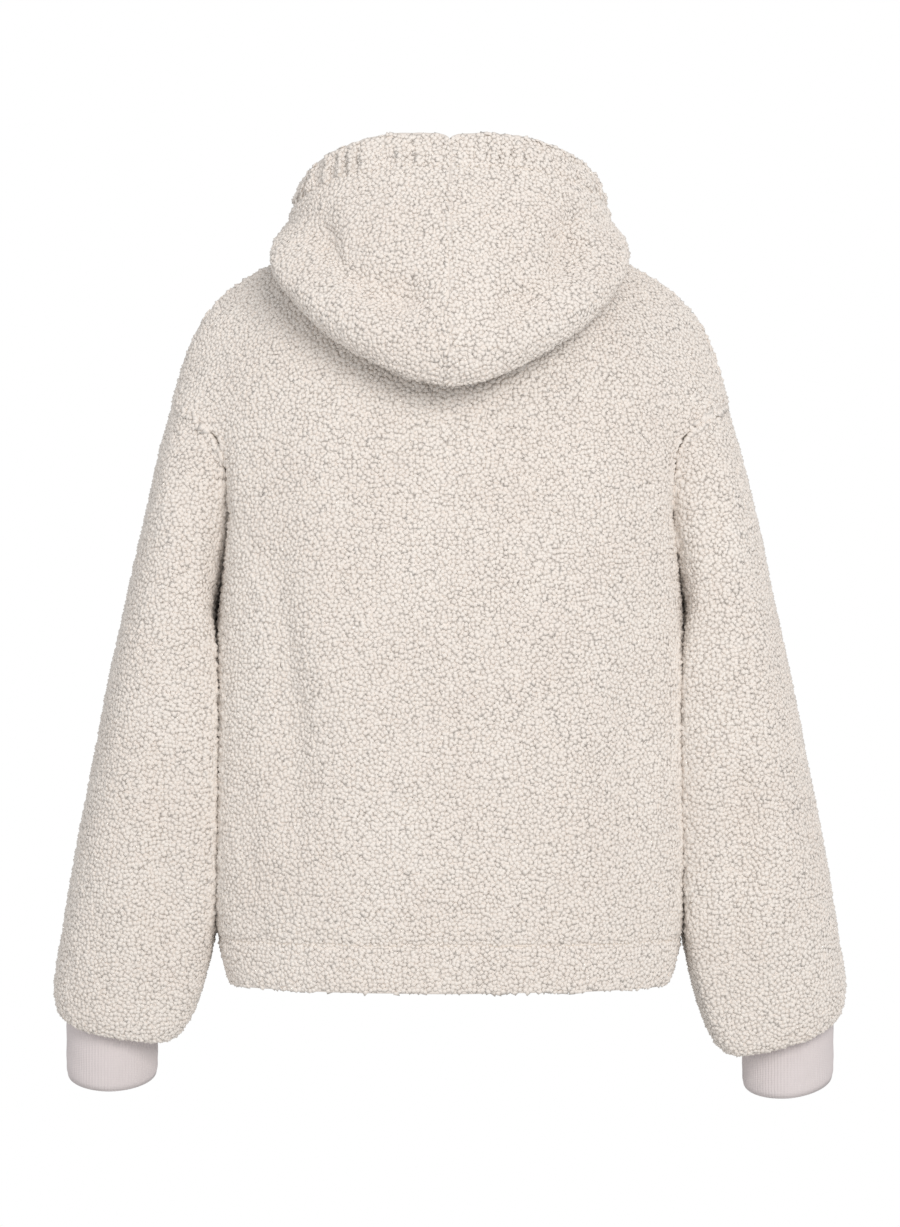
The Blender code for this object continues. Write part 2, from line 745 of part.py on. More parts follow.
def zip_path(front_inner):
    """Inner face of the front at its edge and its slope away from the centre, a row for each height."""
    edge = front_inner[:, 0]
    beside = front_inner[:, 1]
    along = np.gradient(edge, axis=0)
    along[:, 0] = 0
    along = unit(along)
    behind = np.stack([np.zeros(len(along)), along[:, 2], -along[:, 1]], axis=1)
    fall = np.sum((beside - edge) * behind, axis=1) / (beside[:, 0] - edge[:, 0])
    return edge, along, behind, fall


def make_tapes(front_inner, material, collection):
    edge, along, behind, fall = zip_path(front_inner)
    section = tape_section()
    rings = []
    for i in range(len(edge)):
        ring = []
        for x, depth in section:
            set_back = depth + fall[i] * max(0.0, x - FRONT_EDGE_X)
            point = edge[i] + behind[i] * set_back
            ring.append((x, point[1], point[2]))
        rings.append(ring)
    rings = draw_in(np.array(rings), True)
    for name, points in (("zip_tape_left", rings), ("zip_tape_right", mirrored(rings))):
        form = bmesh.new()
        loops = [[form.verts.new(point) for point in ring] for ring in points]
        count = len(section)
        for low, high in zip(loops[:-1], loops[1:]):
            for j in range(count):
                k = (j + 1) % count
                form.faces.new((low[j], low[k], high[k], high[j]))
        form.faces.new(loops[0])
        form.faces.new(loops[-1])
        mesh = bpy.data.meshes.new(name)
        form.to_mesh(mesh)
        form.free()
        part = add_part(name, mesh, material, collection)
        part.data.set_sharp_from_angle(angle=math.radians(30))


def add_box(form, low, high):
    """Box between two corners, added to a bmesh."""
    made = bmesh.ops.create_cube(form, size=1.0)
    size = np.subtract(high, low)
    middle = np.add(high, low) / 2
    bmesh.ops.scale(form, vec=size, verts=made["verts"])
    bmesh.ops.translate(form, vec=middle, verts=made["verts"])


def box_object(name, low, high, collection):
    form = bmesh.new()
    add_box(form, low, high)
    mesh = bpy.data.meshes.new(name)
    form.to_mesh(mesh)
    form.free()
    obj = bpy.data.objects.new(name, mesh)
    obj.hide_render = True
    obj.display_type = "WIRE"
    collection.objects.link(obj)
    return obj


def add_boolean(obj, other, operation):
    modifier = obj.modifiers.new(other.name, "BOOLEAN")
    modifier.operation = operation
    modifier.solver = "EXACT"
    modifier.object = other


def make_slider(front_inner, metal, parts, helpers):
    """Slider on the chain and its pull tab, both made about the tab's axis: x across, y out, z up the zip."""
    edge, along, behind, _ = zip_path(front_inner)
    lengths = np.concatenate([[0], np.cumsum(np.linalg.norm(np.diff(edge, axis=0), axis=1))])
    place = lengths[-1] - SLIDER_FROM_TOP
    seat = smooth(lengths, edge, [place])[0]
    up = unit(smooth(lengths, along, [place])[0])
    back = unit(smooth(lengths, behind, [place])[0])
    plate_back = CHAIN_PROUD + SEAM_GAP
    plate_front = plate_back + SLIDER_PLATE
    axis_out = plate_front + BRIDGE_CLEAR / 2
    pivot = seat - back * axis_out
    pivot[0] = 0
    turn = math.atan2(back[2], back[1])
    half = SLIDER_LENGTH / 2

    def to_y(proud):
        """The tab's own y, which points into the jacket, of a plane this far in front of the cloth."""
        return axis_out - proud

    form = bmesh.new()
    add_box(form, (-SLIDER_HALF_WIDTH, to_y(plate_front), -half), (SLIDER_HALF_WIDTH, to_y(plate_back), half))
    mesh = bpy.data.meshes.new("zip_slider")
    form.to_mesh(mesh)
    form.free()
    slider = add_part("zip_slider", mesh, metal, parts)
    for side in (-1, 1):
        low_x, high_x = sorted((side * (SLIDER_HALF_WIDTH - SLIDER_FLANGE), side * SLIDER_HALF_WIDTH))
        low = (low_x, to_y(plate_front - SLIDER_PLATE / 2), -half)
        high = (high_x, to_y(0.0), half)
        flange = box_object(f"flange_{side}", low, high, helpers)
        add_boolean(slider, flange, "UNION")
    arch_front = plate_front + BRIDGE_CLEAR + BRIDGE_THICK
    low = (-BRIDGE_HALF_WIDTH, to_y(arch_front), -BRIDGE_HALF_LENGTH)
    high = (BRIDGE_HALF_WIDTH, to_y(plate_front - SLIDER_PLATE / 2), BRIDGE_HALF_LENGTH)
    bridge = box_object("bridge", low, high, helpers)
    add_boolean(slider, bridge, "UNION")
    leg = BRIDGE_THICK
    low = (-2 * BRIDGE_HALF_WIDTH, to_y(plate_front + BRIDGE_CLEAR), -BRIDGE_HALF_LENGTH + leg)
    high = (2 * BRIDGE_HALF_WIDTH, to_y(plate_front), BRIDGE_HALF_LENGTH - leg)
    window = box_object("bridge_window", low, high, helpers)
    add_boolean(slider, window, "DIFFERENCE")
    half_thick = PULL_THICK / 2
    form = bmesh.new()
    add_box(form, (-PULL_HALF_WIDTH, -half_thick, -PULL_LENGTH), (PULL_HALF_WIDTH, half_thick, half_thick))
    mesh = bpy.data.meshes.new("zip_pull")
    form.to_mesh(mesh)
    form.free()
    pull = add_part("zip_pull", mesh, metal, parts)
    low = (-PULL_WINDOW_HALF_WIDTH, -2 * half_thick, -PULL_WINDOW)
    high = (PULL_WINDOW_HALF_WIDTH, 2 * half_thick, -half_thick)
    eye = box_object("pull_window", low, high, helpers)
    add_boolean(pull, eye, "DIFFERENCE")
    carrier = bpy.data.objects.new("zip_pivot", None)
    carrier.location = pivot
    carrier.rotation_euler = (turn, 0, 0)
    parts.objects.link(carrier)
    for obj in (slider, pull, *helpers.objects):
        obj.parent = carrier


def main():
    clear_scene()
    parts = new_collection("hooded_sherpa_jacket")
    helpers = new_collection("helpers")
    sherpa = new_material("sherpa fleece", (0.74, 0.69, 0.62), 0.95)
    rib = new_material("rib knit", (0.63, 0.58, 0.58), 0.9)
    tape = new_material("woven zip tape", (0.70, 0.65, 0.58), 0.8)
    metal = new_material("nickel plated zinc", (0.62, 0.60, 0.57), 0.35, 1.0)
    back_grid, front_grid = body_grids()
    sleeve = sleeve_grid(along_armhole(back_grid, front_grid))
    back_normals, front_normals = grid_normals([back_grid, front_grid[:, ::-1]], [False, False])
    front_normals = front_normals[:, ::-1]
    sleeve_normals = grid_normals([sleeve[::-1, ::-1]], [True])[0][::-1, ::-1]
    part_armhole_normals(back_normals, front_normals, sleeve_normals)
    back_normals[:, 0, 0] = 0
    front_normals[:, 0, 0] = 0
    back_normals = unit(back_normals)
    front_normals = unit(front_normals)
    sleeve_normals = unit(sleeve_normals)
    sleeve_normals[-1] = (0.0, 0.0, -1.0)
    front_inner = make_body(back_grid, front_grid, back_normals, front_normals, sherpa, parts)
    make_sleeves(sleeve, sleeve_normals, sherpa, parts)
    make_cuffs(rib, parts)
    make_hood(back_grid, front_grid, sherpa, parts)
    make_tapes(front_inner, tape, parts)
    make_slider(front_inner, metal, parts, helpers)
    helpers.hide_render = True


main()
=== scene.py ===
import json
import math
import random

import bpy
import bmesh
import numpy as np
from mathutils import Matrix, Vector, noise
from mathutils.bvhtree import BVHTree
from mathutils.kdtree import KDTree

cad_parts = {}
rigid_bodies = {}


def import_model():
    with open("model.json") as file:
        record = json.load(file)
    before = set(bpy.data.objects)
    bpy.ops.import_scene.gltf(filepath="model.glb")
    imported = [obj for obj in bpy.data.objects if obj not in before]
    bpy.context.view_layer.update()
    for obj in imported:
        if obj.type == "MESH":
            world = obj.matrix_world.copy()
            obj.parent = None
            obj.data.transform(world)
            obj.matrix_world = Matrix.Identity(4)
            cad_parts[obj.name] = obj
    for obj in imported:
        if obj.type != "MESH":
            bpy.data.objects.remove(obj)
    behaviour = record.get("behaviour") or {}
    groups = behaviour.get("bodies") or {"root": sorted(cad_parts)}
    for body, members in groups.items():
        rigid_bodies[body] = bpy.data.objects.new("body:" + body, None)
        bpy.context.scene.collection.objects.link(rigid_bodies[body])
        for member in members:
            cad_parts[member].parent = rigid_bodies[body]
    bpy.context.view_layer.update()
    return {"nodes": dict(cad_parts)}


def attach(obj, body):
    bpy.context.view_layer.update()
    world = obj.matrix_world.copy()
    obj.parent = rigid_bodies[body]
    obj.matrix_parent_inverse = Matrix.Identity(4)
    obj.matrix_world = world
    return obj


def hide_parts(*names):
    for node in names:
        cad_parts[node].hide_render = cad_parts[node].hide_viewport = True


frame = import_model()
print("frame loaded:", len(frame["nodes"]), "nodes")

# The wearer faces -Y, and the photo's side is +Y, the back. Everything is in metres.
bodyName = "jacket"
pullBody = "zip_pull"
mm = 0.001
weld = {"cloth": 0.01 * mm, "cuff": 0.02 * mm, "metal": 0.001 * mm}  # points nearer than this are one
fieldStep = (7.3, 3.1, 5.7)  # how far from each other two seeds take their uneven values


# Small helpers

def hexToLinear(code):
    channels = [int(code[i:i + 2], 16) / 255 for i in (0, 2, 4)]
    linear = [c / 12.92 if c <= 0.04045 else ((c + 0.055) / 1.055) ** 2.4 for c in channels]
    return (*linear, 1.0)


def addNode(tree, kind, inputs=None, **settings):
    node = tree.nodes.new(kind)
    for name, value in settings.items():
        setattr(node, name, value)
    for name, value in (inputs or {}).items():
        if isinstance(value, bpy.types.NodeSocket):
            tree.links.new(value, node.inputs[name])
        else:
            node.inputs[name].default_value = value
    return node


def ease(t):
    t = np.clip(t, 0, 1)
    return t * t * (3 - 2 * t)


def pickOnly(obj):
    bpy.ops.object.select_all(action="DESELECT")
    obj.select_set(True)
    bpy.context.view_layer.objects.active = obj


def applyAll(obj):
    pickOnly(obj)
    for modifier in list(obj.modifiers):
        bpy.ops.object.modifier_apply(modifier=modifier.name)


def getPoints(obj):
    points = np.empty(len(obj.data.vertices) * 3)
    obj.data.vertices.foreach_get("co", points)
    return points.reshape(-1, 3)


def setPoints(obj, points):
    obj.data.vertices.foreach_set("co", np.ascontiguousarray(points, np.float32).ravel())
    obj.data.update()


def getNormals(obj):
    normals = np.empty(len(obj.data.vertices) * 3)
    obj.data.vertices.foreach_get("normal", normals)
    return normals.reshape(-1, 3)


def fieldOf(points, size, seed):
    # smooth uneven values from -1 to 1, one for each point, with lumps about this size
    shift = Vector([seed * step for step in fieldStep])
    return np.array([noise.noise(Vector(point) / size + shift) for point in points])


def lineDistance(points, line):
    # how far each point is from a line of several stretches, and where along it, from 0 to 1
    line = np.array(line, float)
    steps = np.diff(line, axis=0)
    lengths = np.linalg.norm(steps, axis=1)
    nearest = np.full(len(points), np.inf)
    along = np.zeros(len(points))
    gone = 0
    for start, step, length in zip(line, steps, lengths):
        share = np.clip((points - start) @ step / length**2, 0, 1)
        off = np.linalg.norm(points - start - share[:, None] * step, axis=1)
        closer = off < nearest
        nearest[closer] = off[closer]
        along[closer] = (gone + share[closer] * length) / lengths.sum()
        gone += length
    return nearest, along


def evenSteps(line, pitch):
    # points this far apart along a line, and the way it runs at each
    line = np.array(line, float)
    lengths = np.linalg.norm(np.diff(line, axis=0), axis=1)
    gone = np.concatenate([[0], np.cumsum(lengths)])
    places = np.arange(pitch / 2, gone[-1], pitch)
    points = np.stack([np.interp(places, gone, line[:, i]) for i in range(3)], axis=1)
    ahead = np.stack([np.interp(places + pitch / 4, gone, line[:, i]) for i in range(3)], axis=1)
    behind = np.stack([np.interp(places - pitch / 4, gone, line[:, i]) for i in range(3)], axis=1)
    runs = ahead - behind
    return points, runs / np.linalg.norm(runs, axis=1)[:, None]


def joinCopies(name, shape, places, frames, material):
    # one mesh of many copies of a shape, each at its place with its own three axes
    base = getPoints(shape)
    faces = [tuple(face.vertices) for face in shape.data.polygons]
    points = np.concatenate([place + base @ axes for place, axes in zip(places, frames)])
    mesh = bpy.data.meshes.new(name)
    mesh.from_pydata(points.tolist(), [], [tuple(i + k * len(base) for i in face)
                                           for k in range(len(places)) for face in faces])
    mesh.materials.append(material)
    mesh.shade_smooth()
    bpy.data.objects.remove(shape)
    obj = bpy.data.objects.new(name, mesh)
    bpy.context.scene.collection.objects.link(obj)
    return obj


# Materials

fleece = {
    "lit": "F4EFEA",  # paler curls
    "deep": "EFE8E2",  # darker curls
    "patch": 0.075,  # how far paler and darker patches part, m
    "curl": 3.4 * mm,  # size of a curl
    "fibre": 0.9 * mm,  # real fibres are 0.02 mm: drawn this coarse so that they show
    "backing": "EFE8E2",
    "reverse": "E8E1D9",
    "wale": 2.2 * mm,  # real wales are 0.9 mm apart: drawn this coarse so that they show
    "course": 1.8 * mm,
}


def makePileMaterial(name, lit, deep):
    # Polyester sherpa: long fibres tumbled into soft curls. It looks matt, with a faint sheen at grazing
    # angles and curls that differ a little in shade.
    material = bpy.data.materials.new(name)
    material.use_nodes = True
    tree = material.node_tree
    shader = tree.nodes["Principled BSDF"]
    place = addNode(tree, "ShaderNodeTexCoord").outputs["Object"]
    curls = addNode(tree, "ShaderNodeTexNoise", {"Vector": place, "Scale": 1 / fleece["curl"],
                    "Detail": 2.0})
    patches = addNode(tree, "ShaderNodeTexNoise", {"Vector": place, "Scale": 1 / fleece["patch"],
                      "Detail": 3.0})
    both = addNode(tree, "ShaderNodeMath", {0: curls.outputs["Fac"], 1: 0.62}, operation="MULTIPLY")
    share = addNode(tree, "ShaderNodeMath", {0: patches.outputs["Fac"], 1: 0.38, 2: both.outputs[0]},
                    operation="MULTIPLY_ADD")
    spread = addNode(tree, "ShaderNodeMapRange", {"Value": share.outputs[0], "From Min": 0.36,
                     "From Max": 0.62})
    colour = addNode(tree, "ShaderNodeMix", {0: spread.outputs[0], 6: hexToLinear(deep),
                     7: hexToLinear(lit)}, data_type="RGBA")
    tree.links.new(colour.outputs[2], shader.inputs["Base Color"])
    fibres = addNode(tree, "ShaderNodeTexNoise", {"Vector": place, "Scale": 1 / fleece["fibre"],
                     "Detail": 2.0})
    bump = addNode(tree, "ShaderNodeBump", {"Height": fibres.outputs["Fac"], "Strength": 0.3,
                                            "Distance": 0.4 * mm})
    tree.links.new(bump.outputs[0], shader.inputs["Normal"])
    shader.inputs["Roughness"].default_value = 0.95
    shader.inputs["Specular IOR Level"].default_value = 0.1
    shader.inputs["Sheen Weight"].default_value = 0.15
    shader.inputs["Sheen Roughness"].default_value = 0.55
    shader.inputs["Sheen Tint"].default_value = hexToLinear("FFF8EE")
    return material


waveRepeat = 0.314  # a wave texture of scale 1 repeats after 2 pi / 20


def makeKnitMaterial(name, tint, wale, course, depth):
    # Jersey knit: rows of small loops. The bump gives fine upright ribs broken by courses, and the face
    # is matt. Its colour is darker between the loops, where the bump sinks: painted shade in the
    # hollows.
    material = bpy.data.materials.new(name)
    material.use_nodes = True
    tree = material.node_tree
    shader = tree.nodes["Principled BSDF"]
    place = addNode(tree, "ShaderNodeTexCoord").outputs["Object"]
    wales = addNode(tree, "ShaderNodeTexWave", {"Vector": place, "Scale": waveRepeat / wale,
                    "Distortion": 0.6, "Detail": 1.0, "Detail Scale": 2.0}, bands_direction="X")
    courses = addNode(tree, "ShaderNodeTexWave", {"Vector": place, "Scale": waveRepeat / course,
                      "Distortion": 0.6, "Detail": 1.0, "Detail Scale": 2.0}, bands_direction="Z")
    loops = addNode(tree, "ShaderNodeMath", {0: wales.outputs["Fac"], 1: courses.outputs["Fac"]},
                    operation="MULTIPLY")
    blotch = addNode(tree, "ShaderNodeTexNoise", {"Vector": place, "Scale": 25.0, "Detail": 3.0})
    # paler on the raised loops and darker in the hollows between them: painted shade, mixed with random
    # blotches of tone
    share = addNode(tree, "ShaderNodeMath", {0: loops.outputs[0], 1: 0.5, 2: blotch.outputs["Fac"]},
                    operation="MULTIPLY_ADD")
    light = hexToLinear(tint)
    dark = (light[0] * 0.88, light[1] * 0.87, light[2] * 0.86, 1.0)
    colour = addNode(tree, "ShaderNodeMix", {0: share.outputs[0], 6: dark, 7: light}, data_type="RGBA")
    tree.links.new(colour.outputs[2], shader.inputs["Base Color"])
    bump = addNode(tree, "ShaderNodeBump", {"Height": loops.outputs[0], "Strength": 0.5,
                                            "Distance": depth})
    tree.links.new(bump.outputs[0], shader.inputs["Normal"])
    shader.inputs["Roughness"].default_value = 0.9
    shader.inputs["Specular IOR Level"].default_value = 0.2
    shader.inputs["Sheen Weight"].default_value = 0.15
    shader.inputs["Sheen Roughness"].default_value = 0.5
    return material


def makePlainMaterial(name, tint, roughness, metallic, grain, depth):
    # One even finish with a fine grain in its colour and relief.
    material = bpy.data.materials.new(name)
    material.use_nodes = True
    tree = material.node_tree
    shader = tree.nodes["Principled BSDF"]
    place = addNode(tree, "ShaderNodeTexCoord").outputs["Object"]
    specks = addNode(tree, "ShaderNodeTexNoise", {"Vector": place, "Scale": 1 / grain, "Detail": 3.0})
    light = hexToLinear(tint)
    dark = (light[0] * 0.86, light[1] * 0.86, light[2] * 0.86, 1.0)
    colour = addNode(tree, "ShaderNodeMix", {0: specks.outputs["Fac"], 6: dark, 7: light},
                     data_type="RGBA")
    tree.links.new(colour.outputs[2], shader.inputs["Base Color"])
    bump = addNode(tree, "ShaderNodeBump", {"Height": specks.outputs["Fac"], "Strength": 0.3,
                                            "Distance": depth})
    tree.links.new(bump.outputs[0], shader.inputs["Normal"])
    shader.inputs["Roughness"].default_value = roughness
    shader.inputs["Metallic"].default_value = metallic
    return material


pileMaterial = makePileMaterial("sherpa pile, tumbled polyester", fleece["lit"], fleece["deep"])
backingMaterial = makePileMaterial("sherpa ground, brushed polyester knit",
                                   fleece["backing"], fleece["deep"])
reverseMaterial = makeKnitMaterial("fleece reverse, polyester jersey knit",
                                   fleece["reverse"], fleece["wale"], fleece["course"], 0.5 * mm)
edgeMaterial = makeKnitMaterial("turned seam edge, polyester jersey knit",
                                fleece["reverse"], fleece["wale"], fleece["course"], 0.3 * mm)
ribMaterial = makeKnitMaterial("rib knit, cotton and elastane", "E2DBDD", 1.3 * mm, 1.5 * mm, 0.25 * mm)
tapeMaterial = makeKnitMaterial("zip tape, woven polyester", "E4DACB", 1.0 * mm, 1.0 * mm, 0.2 * mm)
toothMaterial = makePlainMaterial("zip teeth, moulded acetal", "EFE7DA", 0.32, 0.0, 4 * mm, 0.05 * mm)
metalMaterial = makePlainMaterial("zip slider, nickel-plated zinc casting",
                                  "C9C5BE", 0.30, 1.0, 1.5 * mm, 0.05 * mm)
threadMaterial = makePlainMaterial("sewing thread, spun polyester",
                                   "E6DCCD", 0.75, 0.0, 0.6 * mm, 0.1 * mm)
print("materials made")


# Cloth: a shell on each solid's form, with its outer face moved in to make room for the pile

cloth = {
    "pileRoom": 2.0 * mm,  # how far the knitted ground lies under the solid's outer face
    "closeFacing": 0.55,  # a face that looks this squarely at the next piece gives up its room
    "closeFade": 0.3,
    "sideX": 0.16,  # nearer the centre than this, the body has no sleeve beside it
    "seamReach": 0.5 * mm,  # how far the seam edges reach out to meet
    "rimDepth": 4.6 * mm,  # a face nearer than this to the inner one belongs to an edge
    "grooveDepth": 2.0 * mm,  # but not where it is deeper than this and level with it, as in a groove
    "level": 0.8,
    "bend": 50,  # degrees: a sharper edge than this ends the inner face
    "levels": 2,
    "uneven": 1.5 * mm,  # soft unevenness all over
    "unevenSize": 0.085,
    "smallUneven": 0.3 * mm,
    "smallSize": 0.022,
}


def wallRegions(form):
    # faces that run on into each other without a sharp edge, largest first
    limit = math.radians(cloth["bend"])
    left = set(form.faces)
    found = []
    while left:
        first = left.pop()
        region = [first]
        queue = [first]
        while queue:
            face = queue.pop()
            for edge in face.edges:
                if len(edge.link_faces) != 2 or edge.calc_face_angle(0) > limit:
                    continue
                for other in edge.link_faces:
                    if other in left:
                        left.remove(other)
                        region.append(other)
                        queue.append(other)
        found.append(region)
    return sorted(found, key=lambda region: -sum(face.calc_area() for face in region))


def lookingAtNext(node, place, normal):
    # how squarely this bit of cloth looks at the piece beside it: sleeve at body, or body at sleeve
    side = math.copysign(1, place.x)
    if node.startswith("sleeve"):
        return -side * normal.x
    if node.startswith("hood") or abs(place.x) < cloth["sideX"]:
        return 0
    return side * normal.x


def makeShell(node, name, outward):
    # outward tells which of the wall's two faces is the outer one: it reaches further that way
    mesh = frame["nodes"][node].data.copy()
    mesh.name = name
    obj = bpy.data.objects.new(name, mesh)
    bpy.context.scene.collection.objects.link(obj)
    pickOnly(obj)
    bpy.ops.object.mode_set(mode="EDIT")
    bpy.ops.mesh.select_all(action="SELECT")
    bpy.ops.mesh.remove_doubles(threshold=weld["cloth"])
    bpy.ops.mesh.tris_convert_to_quads(face_threshold=math.radians(40), shape_threshold=math.radians(60))
    bpy.ops.object.mode_set(mode="OBJECT")
    mesh.materials.clear()
    for material in (backingMaterial, reverseMaterial, edgeMaterial):
        mesh.materials.append(material)
    form = bmesh.new()
    form.from_mesh(mesh)
    form.normal_update()
    regions = wallRegions(form)[:2]
    way = Vector(outward)
    reach = [max(vert.co.dot(way) for face in region for vert in face.verts) for region in regions]
    inner = set(regions[1] if reach[0] >= reach[1] else regions[0])
    corners = [vert.co.copy() for vert in form.verts]
    lining = [[vert.index for vert in face.verts] for face in form.faces if face in inner]
    innerTree = BVHTree.FromPolygons(corners, lining)
    moves = {}
    for face in form.faces:
        face.smooth = True
        middle = face.calc_center_median()
        if face in inner:
            face.material_index = 1
            continue
        spot, inward, index, gap = innerTree.find_nearest(middle)
        level = face.normal.dot(inward) < -cloth["level"]
        far = gap > cloth["rimDepth"] or (gap > cloth["grooveDepth"] and level)
        face.material_index = 0 if far else 2
        square = lookingAtNext(node, middle, face.normal) - cloth["closeFacing"]
        close = ease(square / cloth["closeFade"])
        shift = -cloth["pileRoom"] * (1 - close) if far else cloth["seamReach"]
        for vert in face.verts:
            moves.setdefault((vert, far), []).append((face.normal * face.calc_area(), shift))
    for (vert, far), pulls in moves.items():
        normal = sum((pull for pull, shift in pulls), Vector()).normalized()
        vert.co += normal * (sum(shift for pull, shift in pulls) / len(pulls))
    crease = form.edges.layers.float.new("crease_edge")
    for edge in form.edges:
        if len({face.material_index for face in edge.link_faces}) > 1:
            edge[crease] = 1.0
    form.to_mesh(mesh)
    form.free()
    rounder = obj.modifiers.new("round", "SUBSURF")
    rounder.levels = cloth["levels"]
    rounder.render_levels = cloth["levels"]
    applyAll(obj)
    return obj


def outerVertices(obj):
    found = np.zeros(len(obj.data.vertices), bool)
    for face in obj.data.polygons:
        if face.material_index == 0:
            found[list(face.vertices)] = True
    return np.flatnonzero(found)


def moveWall(obj, move):
    # moves the outer face by these amounts along its normals, and takes the rest of the wall with it
    points = getPoints(obj)
    normals = getNormals(obj)
    outer = outerVertices(obj)
    tree = KDTree(len(outer))
    for k, i in enumerate(outer):
        tree.insert(points[i], k)
    tree.balance()
    nearest = outer[[tree.find(point)[1] for point in points]]
    setPoints(obj, points + normals[nearest] * move[nearest][:, None])


unevenness = {
    "swing": 0.35,  # how far a crease's width and depth vary along it
    "waves": 9,
    "shift": 60,  # sets where each crease's waves start, from the place of its first end
    "fadeShare": 0.3,  # share of a crease over which each end fades out
    "round": 0.02,  # how far a crease on one side reaches round to the other
}


def creaseDepth(points, rows):
    # each crease: its line as seen square on, which side (+1 back, -1 front), half width, depth
    # a positive depth is a trough and a negative one a ridge
    total = np.zeros(len(points))
    for line, side, width, depth in rows:
        off, along = lineDistance(points[:, [0, 2]], line)
        start = line[0][0] * unevenness["shift"]
        uneven = 1 + unevenness["swing"] * np.sin(along * unevenness["waves"] + start)
        ends = ease(np.minimum(along, 1 - along) / unevenness["fadeShare"])
        facing = np.clip(points[:, 1] * side / unevenness["round"] + 0.5, 0, 1)
        total -= depth * uneven * ends * np.exp(-((off / (width * uneven)) ** 2)) * facing
    return total


def dressCloth(obj, rows, extra=None):
    points = getPoints(obj)
    move = creaseDepth(points, rows)
    move += cloth["uneven"] * fieldOf(points, cloth["unevenSize"], 1)
    move += cloth["smallUneven"] * fieldOf(points, cloth["smallSize"], 2)
    if extra is not None:
        move += extra
    moveWall(obj, move)


# long soft folds as the photo shows them, and like ones on the hidden front
creases = {
    "back": (
        (((0.148, -0.240), (0.134, -0.400), (0.130, -0.560)), 1, 0.018, 8.5 * mm),
        (((0.118, -0.190), (0.108, -0.330), (0.110, -0.480)), 1, 0.022, -2.4 * mm),
        (((-0.152, -0.300), (-0.148, -0.450), (-0.152, -0.590)), 1, 0.014, 4.0 * mm),
        (((0.178, -0.420), (0.168, -0.520), (0.160, -0.610)), 1, 0.012, 1.8 * mm),
        (((-0.205, -0.220), (-0.170, -0.262), (-0.130, -0.300)), 1, 0.012, 1.6 * mm),
        (((0.205, -0.215), (0.170, -0.262), (0.125, -0.310)), 1, 0.012, 1.8 * mm),
        (((-0.060, -0.400), (0.000, -0.425), (0.060, -0.430)), 1, 0.022, 0.9 * mm),
        (((0.020, -0.210), (0.012, -0.300)), 1, 0.020, 0.8 * mm),
    ),
    "front": (
        (((0.100, -0.200), (0.112, -0.350), (0.118, -0.520)), -1, 0.020, 2.3 * mm),
        (((-0.095, -0.230), (-0.104, -0.340), (-0.110, -0.480)), -1, 0.020, 2.1 * mm),
        (((0.200, -0.225), (0.160, -0.275), (0.120, -0.320)), -1, 0.012, 1.8 * mm),
        (((-0.200, -0.230), (-0.165, -0.270), (-0.125, -0.310)), -1, 0.013, 1.7 * mm),
        (((0.052, -0.420), (0.062, -0.500), (0.070, -0.600)), -1, 0.017, 1.7 * mm),
        (((-0.150, -0.400), (-0.146, -0.500), (-0.140, -0.590)), -1, 0.015, 1.6 * mm),
    ),
    "sleeve": (
        (((0.240, -0.420), (0.244, -0.520), (0.240, -0.640)), 1, 0.014, 6.5 * mm),
        (((0.266, -0.480), (0.268, -0.560), (0.266, -0.650)), 1, 0.011, -1.2 * mm),
        (((0.300, -0.550), (0.298, -0.610), (0.290, -0.665)), 1, 0.009, 1.8 * mm),
        (((0.232, -0.196), (0.222, -0.260), (0.220, -0.330)), 1, 0.010, 2.0 * mm),
        (((0.205, -0.300), (0.235, -0.330), (0.262, -0.350)), 1, 0.010, 1.5 * mm),
        (((0.225, -0.370), (0.250, -0.390), (0.275, -0.398)), 1, 0.011, 1.2 * mm),
        (((0.250, -0.420), (0.254, -0.520), (0.250, -0.640)), -1, 0.012, 3.2 * mm),
        (((0.205, -0.310), (0.230, -0.340), (0.255, -0.365)), -1, 0.010, 1.8 * mm),
        (((0.292, -0.520), (0.296, -0.590), (0.290, -0.660)), -1, 0.010, 2.0 * mm),
    ),
    "hoodLeft": (
        (((0.128, 0.008), (0.108, -0.002), (0.101, -0.022), (0.087, -0.041), (0.066, -0.055),
          (0.043, -0.062), (0.019, -0.067), (0.002, -0.079)), 1, 0.013, 10.0 * mm),
        (((0.152, -0.014), (0.132, -0.046), (0.100, -0.070), (0.060, -0.092), (0.015, -0.108)),
         1, 0.016, -4.0 * mm),
        (((0.120, 0.020), (0.092, 0.006), (0.078, -0.018), (0.055, -0.034), (0.025, -0.040)),
         1, 0.010, -1.8 * mm),
        (((0.040, 0.040), (0.036, 0.010), (0.022, -0.010)), 1, 0.010, 1.1 * mm),
        (((0.118, -0.030), (0.100, -0.070), (0.070, -0.096)), 1, 0.011, 1.2 * mm),
    ),
    "hoodRight": (
        (((-0.117, 0.014), (-0.101, -0.004), (-0.096, -0.028), (-0.080, -0.051), (-0.054, -0.072),
          (-0.038, -0.088)), 1, 0.013, 10.0 * mm),
        (((-0.150, -0.012), (-0.130, -0.046), (-0.098, -0.074), (-0.060, -0.096), (-0.015, -0.110)),
         1, 0.016, -4.0 * mm),
        (((-0.108, 0.020), (-0.084, 0.004), (-0.072, -0.022), (-0.050, -0.042), (-0.020, -0.046)),
         1, 0.010, -1.6 * mm),
        (((-0.030, 0.042), (-0.034, 0.012), (-0.026, -0.012)), 1, 0.010, 1.0 * mm),
        (((-0.122, -0.022), (-0.110, -0.056), (-0.085, -0.084)), 1, 0.011, 1.3 * mm),
    ),
}
